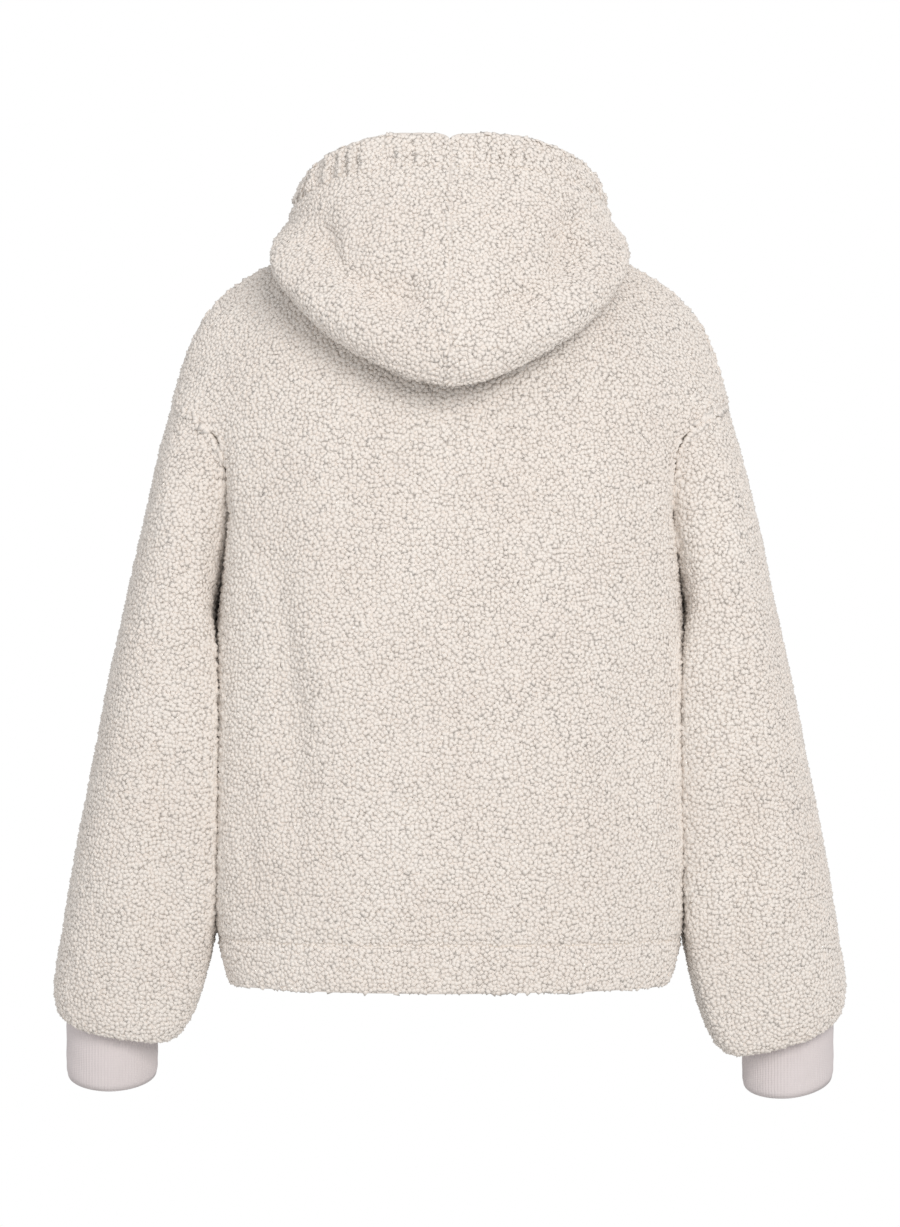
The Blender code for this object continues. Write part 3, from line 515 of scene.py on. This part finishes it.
# the hood's casing: its row of stitches from the centre back round to the front, on the +X side
casing = {
    "line": ((0, 0.112, 0.049), (0.030, 0.110, 0.0495), (0.056, 0.105, 0.049),
             (0.085, 0.096, 0.0445), (0.1085, 0.081, 0.038), (0.127, 0.057, 0.030),
             (0.137, 0.030, 0.024), (0.134, -0.022, 0.028), (0.122, -0.055, 0.023),
             (0.104, -0.078, 0.014), (0.055, -0.105, -0.015), (0.0015, -0.1125, -0.035)),
    "pucker": 2.8 * mm,  # how deep the gathers run between the stitches and the rim
    "reach": 0.022,  # how far from the stitches they die out
    "slow": (2.1, 0.23),  # how far and how often the gathers close up and spread
    "slower": (1.3, 0.41),
    "pitch": 0.0115,
    "below": 0.004,
    "tuck": 1.8 * mm,  # how far the row of stitches pulls the cloth in
    "tuckWidth": 0.0035,
    "calm": 0.018,  # no gathers this near the seam between the hood's halves
}


def mirroredCreases(rows):
    return tuple((tuple((-x, z) for x, z in line), *rest) for line, *rest in rows)


def casingFor(side):
    return np.array(casing["line"]) * (side, 1, 1)


def casingShape(obj, side):
    points = getPoints(obj)
    off, along = lineDistance(points, casingFor(side))
    line = casingFor(side)
    lengths = np.linalg.norm(np.diff(line, axis=0), axis=1)
    gone = np.concatenate([[0], np.cumsum(lengths)])
    height = np.interp(along * gone[-1], gone, line[:, 2])
    above = ease((points[:, 2] - height + casing["below"]) / (2 * casing["below"]))
    turn = along * gone[-1] / casing["pitch"] * 2 * math.pi
    slowDepth, slowPace = casing["slow"]
    slowerDepth, slowerPace = casing["slower"]
    wave = np.sin(turn + slowDepth * np.sin(turn * slowPace)
                  + slowerDepth * np.sin(turn * slowerPace + side))
    near = np.exp(-((off / casing["reach"]) ** 2)) * ease(np.abs(points[:, 0]) / casing["calm"])
    tuck = casing["tuck"] * np.exp(-((off / casing["tuckWidth"]) ** 2))
    return casing["pucker"] * wave * above * near - tuck


shells = {}
shells["back"] = makeShell("back", "backCloth", (0, 1, 0))
shells["front_left"] = makeShell("front_left", "frontClothLeft", (0, -1, 0))
shells["front_right"] = makeShell("front_right", "frontClothRight", (0, -1, 0))
shells["sleeve_left"] = makeShell("sleeve_left", "sleeveClothLeft", (1, 0, 0))
shells["sleeve_right"] = makeShell("sleeve_right", "sleeveClothRight", (-1, 0, 0))
shells["hood_left"] = makeShell("hood_left", "hoodClothLeft", (0, 1, 0))
shells["hood_right"] = makeShell("hood_right", "hoodClothRight", (0, 1, 0))
dressCloth(shells["back"], creases["back"])
dressCloth(shells["front_left"], creases["front"])
dressCloth(shells["front_right"], creases["front"])
dressCloth(shells["sleeve_left"], creases["sleeve"])
dressCloth(shells["sleeve_right"], mirroredCreases(creases["sleeve"]))
# both halves get the creases of both sides, so that they agree at the seam
hoodCreases = creases["hoodLeft"] + creases["hoodRight"]
dressCloth(shells["hood_left"], hoodCreases, casingShape(shells["hood_left"], 1))
dressCloth(shells["hood_right"], hoodCreases, casingShape(shells["hood_right"], -1))
for name, shell in shells.items():
    print("cloth", name, len(shell.data.polygons), "faces")


# Pile: curls scattered over the outer faces, each a small closed lump that leans its own way

pile = {
    "spacing": 2.95 * mm,
    "crowd": 9,  # points tried for each that is kept
    "width": 3.3 * mm,  # from a curl's middle to its rim
    "stretch": (0.72, 1.25),  # how far its corners stand out of round
    "height": 1.2 * mm,
    "root": 0.9 * mm,
    "waist": -0.05,  # share of the height at which a curl is widest
    "waistSpread": 0.10,
    "lean": 1.3 * mm,
    "kinds": 6,
    "tilt": math.radians(5),
    "comb": math.radians(12),  # how far patches of curls lie over together
    "combSize": 0.016,
    "least": (0.85, 0.85, 0.5),  # smallest and largest of a curl, two ways across and up
    "most": (1.15, 1.15, 2.0),
}


def makeCurls():
    # a four-sided cone, its base point pulled down under the cloth and its rim made uneven
    group = bpy.data.collections.new("curlShapes")
    bpy.context.scene.collection.children.link(group)
    draw = random.Random(11)
    for i in range(pile["kinds"]):
        bpy.ops.object.select_all(action="DESELECT")
        bpy.ops.mesh.primitive_cone_add(vertices=4, radius1=pile["width"], radius2=0,
                                        depth=pile["height"], end_fill_type="TRIFAN")
        obj = bpy.context.active_object
        obj.name = f"curl{i}"
        points = getPoints(obj) + (0, 0, pile["height"] / 2)
        radius = np.hypot(points[:, 0], points[:, 1])
        # its points are the rim, the tip and the middle of the base
        ring = radius > 0.5 * pile["width"]
        top = points[:, 2] > 0.9 * pile["height"]
        base = ~ring & ~top
        for k in np.flatnonzero(ring):
            stretch = draw.uniform(*pile["stretch"])
            points[k] = (points[k, 0] * stretch, points[k, 1] * stretch,
                         pile["height"] * (pile["waist"] + draw.uniform(-1, 1) * pile["waistSpread"]))
        angle = draw.uniform(0, 2 * math.pi)
        points[top] += (pile["lean"] * math.cos(angle), pile["lean"] * math.sin(angle), 0)
        points[base] = (0, 0, -pile["root"])
        setPoints(obj, points)
        obj.data.materials.append(pileMaterial)
        obj.data.shade_smooth()
        for holder in obj.users_collection:
            holder.objects.unlink(obj)
        group.objects.link(obj)
    return group


def makeScatter(group):
    tree = bpy.data.node_groups.new("scatterCurls", "GeometryNodeTree")
    tree.interface.new_socket("Geometry", in_out="INPUT", socket_type="NodeSocketGeometry")
    tree.interface.new_socket("Seed", in_out="INPUT", socket_type="NodeSocketInt")
    tree.interface.new_socket("Geometry", in_out="OUTPUT", socket_type="NodeSocketGeometry")
    start = addNode(tree, "NodeGroupInput")
    outside = addNode(tree, "GeometryNodeMaterialSelection", {"Material": backingMaterial})
    spots = addNode(tree, "GeometryNodeDistributePointsOnFaces",
                    {"Mesh": start.outputs[0], "Selection": outside.outputs[0],
                     "Distance Min": pile["spacing"], "Seed": start.outputs[1],
                     "Density Max": pile["crowd"] / pile["spacing"] ** 2},
                    distribute_method="POISSON")
    height = addNode(tree, "GeometryNodeInputNamedAttribute", {"Name": "pileHeight"}, data_type="FLOAT")
    shapes = addNode(tree, "GeometryNodeCollectionInfo", {"Collection": group, "Separate Children": True,
                     "Reset Children": True})
    patch = addNode(tree, "ShaderNodeTexNoise", {"Scale": 1 / pile["combSize"], "Detail": 1.0})
    lay = addNode(tree, "ShaderNodeVectorMath", {0: patch.outputs["Color"], 1: (0.5, 0.5, 0.5)},
                  operation="SUBTRACT")
    combed = addNode(tree, "ShaderNodeVectorMath", {0: lay.outputs[0],
                     1: (2 * pile["comb"], 2 * pile["comb"], 0)}, operation="MULTIPLY")
    swept = addNode(tree, "FunctionNodeRotateRotation", {0: spots.outputs["Rotation"],
                    1: combed.outputs[0]}, rotation_space="LOCAL")
    sway = addNode(tree, "FunctionNodeRandomValue", {0: (-pile["tilt"], -pile["tilt"], -math.pi),
                   1: (pile["tilt"], pile["tilt"], math.pi)}, data_type="FLOAT_VECTOR")
    turn = addNode(tree, "FunctionNodeRotateRotation", {0: swept.outputs[0], 1: sway.outputs[0]},
                   rotation_space="LOCAL")
    size = addNode(tree, "FunctionNodeRandomValue", {0: pile["least"], 1: pile["most"]},
                   data_type="FLOAT_VECTOR")
    full = addNode(tree, "ShaderNodeVectorMath", {0: size.outputs[0], 3: height.outputs[0]},
                   operation="SCALE")
    copies = addNode(tree, "GeometryNodeInstanceOnPoints",
                     {"Points": spots.outputs["Points"], "Instance": shapes.outputs[0],
                      "Pick Instance": True, "Rotation": turn.outputs[0], "Scale": full.outputs[0]})
    real = addNode(tree, "GeometryNodeRealizeInstances", {0: copies.outputs[0]})
    addNode(tree, "NodeGroupOutput", {0: real.outputs[0]})
    return tree


def growPile(shell, name, tree, seed):
    obj = shell.copy()
    obj.data = shell.data.copy()
    obj.name = name
    obj.data.name = name
    bpy.context.scene.collection.objects.link(obj)
    modifier = obj.modifiers.new("pile", "NODES")
    modifier.node_group = tree
    modifier["Socket_1"] = seed
    applyAll(obj)
    return obj


def setPileHeight(obj, height):
    attribute = obj.data.attributes.new("pileHeight", "FLOAT", "POINT")
    attribute.data.foreach_set("value", height)


# the pile is shorter where a row of stitches pulls it down
hem = {"stitchZ": -0.5995, "spread": 3.0 * mm, "pressed": 0.12}
# and it stands up where a sleeve and the body lie close, and fills the fold between them
fold = {"reach": 9 * mm, "rise": 1.2}


def shellTree(nodes, outerOnly=False):
    corners = []
    faces = []
    for node in nodes:
        mesh = shells[node].data
        kept = [face for face in mesh.polygons if face.material_index == 0 or not outerOnly]
        faces += [[i + len(corners) for i in face.vertices] for face in kept]
        corners += [vert.co.copy() for vert in mesh.vertices]
    return BVHTree.FromPolygons(corners, faces)


def standInFold(obj, others):
    # 0 out in the open, and up to the fold's rise where another piece lies close in front of the cloth
    rise = np.zeros(len(obj.data.vertices))
    for vert in obj.data.vertices:
        spot, normal, index, gap = others.find_nearest(vert.co, 3 * fold["reach"])
        if spot is not None and gap > 0:
            ahead = max((spot - vert.co).dot(vert.normal) / gap, 0)
            rise[vert.index] = fold["rise"] * ahead * math.exp(-((gap / fold["reach"]) ** 2))
    return rise


bodyShells = shellTree(("back", "front_left", "front_right"))
sleeveShells = shellTree(("sleeve_left", "sleeve_right"))
for node in ("back", "front_left", "front_right"):
    rise = getPoints(shells[node])[:, 2] - hem["stitchZ"]
    height = 1 - hem["pressed"] * np.exp(-((rise / hem["spread"]) ** 2))
    setPileHeight(shells[node], height + standInFold(shells[node], sleeveShells))
for node in ("sleeve_left", "sleeve_right"):
    setPileHeight(shells[node], 1 + standInFold(shells[node], bodyShells))
for node, side in (("hood_left", 1), ("hood_right", -1)):
    off = lineDistance(getPoints(shells[node]), casingFor(side))[0]
    setPileHeight(shells[node], 1 - hem["pressed"] * np.exp(-((off / hem["spread"]) ** 2)))
curlShapes = makeCurls()
scatterTree = makeScatter(curlShapes)
pileNames = {
    "back": "backPile", "front_left": "frontPileLeft", "front_right": "frontPileRight",
    "sleeve_left": "sleevePileLeft", "sleeve_right": "sleevePileRight",
    "hood_left": "hoodPileLeft", "hood_right": "hoodPileRight",
}
piles = {}
for seed, (node, name) in enumerate(pileNames.items()):
    piles[node] = growPile(shells[node], name, scatterTree, seed + 3)
    print("pile", node, len(piles[node].data.polygons), "faces")
for obj in list(curlShapes.objects):
    bpy.data.objects.remove(obj)
bpy.data.collections.remove(curlShapes)


# Rib cuffs, rolled up from a flat grid

cuff = {
    "middleX": 0.2915,
    "middleY": -0.012,
    "halfWidth": 0.0396,
    "halfDepth": 0.0372,
    "tilt": 0.33,
    "topZ": -0.6615,
    "bottomZ": -0.7205,
    "ribs": 88,  # real ribs are 1.5 mm apart: drawn 2.7 mm apart so that they show
    "ribDepth": 0.5 * mm,
    "columns": 352,
    "rows": 10,
    "wall": 2.6 * mm,
    "fold": 1.6 * mm,  # how far the folded bottom edge rounds in
    "sag": 0.5 * mm,
    "sagUp": 9,  # its sine runs through this many radians up the cuff
    "sagRound": 2,  # and through this many waves round it
    "drop": 0.0125,  # the right one hangs lower on its inner side
    "dropOuterX": 0.343,
    "dropInnerX": 0.230,
}


def makeCuff(name, side):
    bpy.ops.object.select_all(action="DESELECT")
    bpy.ops.mesh.primitive_grid_add(x_subdivisions=cuff["columns"], y_subdivisions=cuff["rows"], size=2)
    obj = bpy.context.active_object
    obj.name = name
    flat = getPoints(obj)
    turn = flat[:, 0] * math.pi
    up = (flat[:, 1] + 1) / 2
    high = cuff["topZ"] - cuff["bottomZ"]
    fold = np.clip(1 - up * high / (2 * cuff["fold"]), 0, 1) ** 2 * cuff["fold"]
    rib = cuff["ribDepth"] * (0.5 - 0.5 * np.cos(turn * cuff["ribs"])) * (1 - 0.5 * fold / cuff["fold"])
    sag = cuff["sag"] * np.sin(up * cuff["sagUp"] + turn * cuff["sagRound"])
    inset = fold + rib + np.abs(sag)
    x = cuff["middleX"] + (cuff["halfWidth"] - inset) * np.cos(turn)
    y = (cuff["halfDepth"] - inset) * np.sin(turn)
    z = cuff["bottomZ"] + up * high - cuff["tilt"] * y
    if side < 0:
        z -= cuff["drop"] * (cuff["dropOuterX"] - x) / (cuff["dropOuterX"] - cuff["dropInnerX"])
    setPoints(obj, np.stack([side * x, cuff["middleY"] + y, z], axis=1))
    obj.data.materials.append(ribMaterial)
    bpy.ops.object.mode_set(mode="EDIT")
    bpy.ops.mesh.select_all(action="SELECT")
    bpy.ops.mesh.remove_doubles(threshold=weld["cuff"])
    bpy.ops.mesh.normals_make_consistent(inside=False)
    bpy.ops.object.mode_set(mode="OBJECT")
    bpy.ops.object.shade_smooth()
    wall = obj.modifiers.new("wall", "SOLIDIFY")
    wall.thickness = cuff["wall"]
    wall.offset = -1
    applyAll(obj)
    return obj


cuffs = {"cuff_left": makeCuff("cuffRibLeft", 1), "cuff_right": makeCuff("cuffRibRight", -1)}
print("cuffs rolled")


# Zip: two woven tapes, moulded teeth that take turns, and the slider with its pull

zipper = {
    "edgeX": 0.4 * mm,  # where the tapes' near edges stand on the solids
    "innerX": 16 * mm,  # and their far ones
    "tapeNear": 0.9 * mm,
    "tapeFar": 15.8 * mm,
    "tapeThick": 0.8 * mm,
    "tapeBehind": 0.3 * mm,
    "rows": 260,
    "steps": 80,
    "reachX": 0.1 * mm,  # a point this near a line counts as on it
    "curve": 6,  # degree of the curve that parts the front edge's points from the back edge's
    "pitch": 2.6 * mm,
    "toothLong": 4.2 * mm,
    "toothWide": 1.25 * mm,
    "toothThick": 2.3 * mm,
    "toothMiddle": 1.25 * mm,
    "bevel": 0.3 * mm,
    "metalBevel": 0.22 * mm,
}


def middleLine(node, x):
    # line midway between the solid's front and back edges at this distance from the centre, hem first
    form = bmesh.new()
    form.from_mesh(frame["nodes"][node].data)
    bmesh.ops.remove_doubles(form, verts=form.verts, dist=weld["cloth"])
    points = np.array([vert.co for vert in form.verts])
    form.free()
    points = points[np.abs(np.abs(points[:, 0]) - x) < zipper["reachX"]]
    points = points[np.argsort(points[:, 2])]
    middle = np.polyval(np.polyfit(points[:, 2], points[:, 1], zipper["curve"]), points[:, 2])
    edges = [points[points[:, 1] < middle], points[points[:, 1] >= middle]]
    low = max(edge[0, 2] for edge in edges)
    high = min(edge[-1, 2] for edge in edges)
    z = np.linspace(low, high, zipper["steps"])
    y = sum(np.interp(z, edge[:, 2], edge[:, 1]) for edge in edges) / 2
    return np.stack([np.zeros(len(z)), y, z], axis=1)


def makeTape(node, name, side):
    near = middleLine(node, zipper["edgeX"])
    far = middleLine(node, zipper["innerX"])
    bpy.ops.object.select_all(action="DESELECT")
    bpy.ops.mesh.primitive_grid_add(x_subdivisions=6, y_subdivisions=zipper["rows"], size=2)
    obj = bpy.context.active_object
    obj.name = name
    flat = getPoints(obj)
    across = (flat[:, 0] + 1) / 2
    place = (flat[:, 1] + 1) / 2 * (len(near) - 1)
    steps = np.arange(len(near))
    nearY, nearZ = [np.interp(place, steps, near[:, i]) for i in (1, 2)]
    farY, farZ = [np.interp(place, steps, far[:, i]) for i in (1, 2)]
    x = zipper["tapeNear"] + (zipper["tapeFar"] - zipper["tapeNear"]) * across
    y = nearY + (farY - nearY) * across + zipper["tapeBehind"] * (1 - across)
    setPoints(obj, np.stack([side * x, y, nearZ + (farZ - nearZ) * across], axis=1))
    obj.data.materials.append(tapeMaterial)
    bpy.ops.object.shade_smooth()
    wall = obj.modifiers.new("wall", "SOLIDIFY")
    wall.thickness = zipper["tapeThick"]
    wall.offset = 0
    applyAll(obj)
    return obj


def makeTeeth(node, name, side):
    bpy.ops.object.select_all(action="DESELECT")
    bpy.ops.mesh.primitive_cube_add(size=1)
    tooth = bpy.context.active_object
    setPoints(tooth, getPoints(tooth) * (zipper["toothLong"], zipper["toothThick"], zipper["toothWide"]))
    rounder = tooth.modifiers.new("round", "BEVEL")
    rounder.width = zipper["bevel"]
    applyAll(tooth)
    places, runs = evenSteps(middleLine(node, zipper["edgeX"]), zipper["pitch"] / 2)
    first = 0 if side > 0 else 1
    places = places[first::2] * (0, 1, 1) + (side * zipper["toothMiddle"], 0, 0)
    runs = runs[first::2] * (0, 1, 1)
    frames = [np.array([(1, 0, 0), (0, run[2], -run[1]), run]) for run in runs]
    obj = joinCopies(name, tooth, places, frames, toothMaterial)
    obj.data.shade_flat()
    return obj


def makeMetal(node, name):
    source = frame["nodes"][node]
    mesh = source.data.copy()
    mesh.transform(source.matrix_world)
    mesh.name = name
    obj = bpy.data.objects.new(name, mesh)
    bpy.context.scene.collection.objects.link(obj)
    pickOnly(obj)
    bpy.ops.object.mode_set(mode="EDIT")
    bpy.ops.mesh.select_all(action="SELECT")
    bpy.ops.mesh.remove_doubles(threshold=weld["metal"])
    bpy.ops.mesh.dissolve_limited(angle_limit=math.radians(2))
    bpy.ops.object.mode_set(mode="OBJECT")
    rounder = obj.modifiers.new("round", "BEVEL")
    rounder.width = zipper["metalBevel"]
    rounder.segments = 2
    applyAll(obj)
    mesh.materials.clear()
    mesh.materials.append(metalMaterial)
    bpy.ops.object.shade_smooth_by_angle(angle=math.radians(40))
    return obj


tapes = {"zip_tape_left": makeTape("zip_tape_left", "zipTapeLeft", 1),
         "zip_tape_right": makeTape("zip_tape_right", "zipTapeRight", -1)}
teeth = {"zip_tape_left": makeTeeth("zip_tape_left", "zipTeethLeft", 1),
         "zip_tape_right": makeTeeth("zip_tape_right", "zipTeethRight", -1)}
metals = {"zip_slider": makeMetal("zip_slider", "zipSlider"),
          "zip_pull": makeMetal("zip_pull", "zipPull")}
print("zip built")


# Sewing: rows of stitches lying in the hem's and the casing's grooves

sewing = {
    "pitch": 4.0 * mm,
    "long": 3.0 * mm,
    "thick": 0.6 * mm,
    "proud": 0.1 * mm,
    "hemEnd": 176,  # degrees round from the centre back, where the hem's row ends
    "hemStep": 2,
    "outside": 0.5,
}


def sewRow(name, line, tree):
    places, runs = evenSteps(line, sewing["pitch"])
    bpy.ops.object.select_all(action="DESELECT")
    bpy.ops.mesh.primitive_ico_sphere_add(subdivisions=1, radius=0.5)
    stitch = bpy.context.active_object
    setPoints(stitch, getPoints(stitch) * (sewing["long"], sewing["thick"], sewing["thick"]))
    spots = []
    frames = []
    for place, run in zip(places, runs):
        spot, normal, face, gap = tree.find_nearest(Vector(place))
        out = np.array(normal)
        ahead = run - out * (run @ out)
        ahead /= np.linalg.norm(ahead)
        spots.append(np.array(spot) + out * sewing["proud"])
        frames.append(np.array([ahead, np.cross(out, ahead), out]))
    return joinCopies(name, stitch, spots, frames, threadMaterial)


def hemLine(tree):
    # found by looking in at the body from all round, from one edge of the front opening to the other
    line = []
    for degree in range(-sewing["hemEnd"], sewing["hemEnd"] + 1, sewing["hemStep"]):
        way = Vector((math.sin(math.radians(degree)), math.cos(math.radians(degree)), 0))
        spot = tree.ray_cast(way * sewing["outside"] + Vector((0, 0, hem["stitchZ"])), -way)[0]
        if spot:
            line.append(tuple(spot))
    return line


bodyTree = shellTree(("back", "front_left", "front_right"), outerOnly=True)
stitches = [
    sewRow("hemStitches", hemLine(bodyTree), bodyTree),
    sewRow("casingStitchesLeft", casingFor(1), shellTree(("hood_left",), outerOnly=True)),
    sewRow("casingStitchesRight", casingFor(-1), shellTree(("hood_right",), outerOnly=True)),
]
print("stitches sewn")


# Pieces hung on the frame's bodies, with the frame parts they stand in for hidden

for node, shell in shells.items():
    grown = piles[node]
    for piece in (shell, grown):
        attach(piece, bodyName)
        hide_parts(node)
for node, piece in cuffs.items():
    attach(piece, bodyName)
    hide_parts(node)
for node, piece in tapes.items():
    for part in (piece, teeth[node]):
        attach(part, bodyName)
        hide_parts(node)
for node, piece in metals.items():
    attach(piece, pullBody if node == "zip_pull" else bodyName)
    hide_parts(node)
for piece in stitches:
    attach(piece, bodyName)


# Studio: a pale floor far below, a white surround, a large soft light by the camera and a weak one
# at the side

studio = {
    "cameraY": 3.3,
    "cameraZ": -0.324,
    "lens": 112.58,
    "floorZ": -1.40,
    "floorSize": 3.6,
    "ambient": 0.52,
    "keyPower": 66,
    "keySize": 1.6,
    "keyPlace": (-1.1, 3.2, 1.0),
    "sidePower": 11,
    "sidePlace": (2.6, 1.6, 0.5),
    "tint": "FFFAF5",  # the light's own warmth
    "target": (0, 0, -0.33),
}


def aimAt(obj, place, target):
    obj.location = place
    obj.rotation_euler = (Vector(target) - Vector(place)).to_track_quat("-Z", "Y").to_euler()


def addLight(name, place, power, size):
    light = bpy.data.lights.new(name, "AREA")
    light.energy = power
    light.size = size
    light.color = hexToLinear(studio["tint"])[:3]
    obj = bpy.data.objects.new(name, light)
    bpy.context.scene.collection.objects.link(obj)
    aimAt(obj, place, studio["target"])


def makeStudio():
    addLight("keyLight", studio["keyPlace"], studio["keyPower"], studio["keySize"])
    addLight("sideLight", studio["sidePlace"], studio["sidePower"], studio["keySize"])
    world = bpy.data.worlds.new("whiteSurround")
    bpy.context.scene.world = world
    world.use_nodes = True
    tree = world.node_tree
    tree.nodes.clear()
    seen = addNode(tree, "ShaderNodeLightPath")
    strength = addNode(tree, "ShaderNodeMapRange", {"Value": seen.outputs["Is Camera Ray"],
                       "To Min": studio["ambient"], "To Max": 1.0})
    glow = addNode(tree, "ShaderNodeBackground", {"Color": (1, 1, 1, 1),
                                                  "Strength": strength.outputs[0]})
    addNode(tree, "ShaderNodeOutputWorld", {"Surface": glow.outputs[0]})
    bpy.ops.object.select_all(action="DESELECT")
    bpy.ops.mesh.primitive_plane_add(size=studio["floorSize"], location=(0, 0, studio["floorZ"]))
    floor = bpy.context.active_object
    floor.name = "studioFloor"
    paint = makePlainMaterial("studio floor, matt paint", "F4F3F1", 0.8, 0.0, 40 * mm, 0.2 * mm)
    floor.data.materials.append(paint)
    camera = bpy.data.objects.new("camera", bpy.data.cameras.new("camera"))
    bpy.context.scene.collection.objects.link(camera)
    camera.data.lens = studio["lens"]
    camera.data.sensor_width = 36
    aimAt(camera, (0, studio["cameraY"], studio["cameraZ"]), (0, 0, studio["cameraZ"]))
    bpy.context.scene.camera = camera
    bpy.context.scene.view_settings.view_transform = "Standard"


makeStudio()
print("studio set")
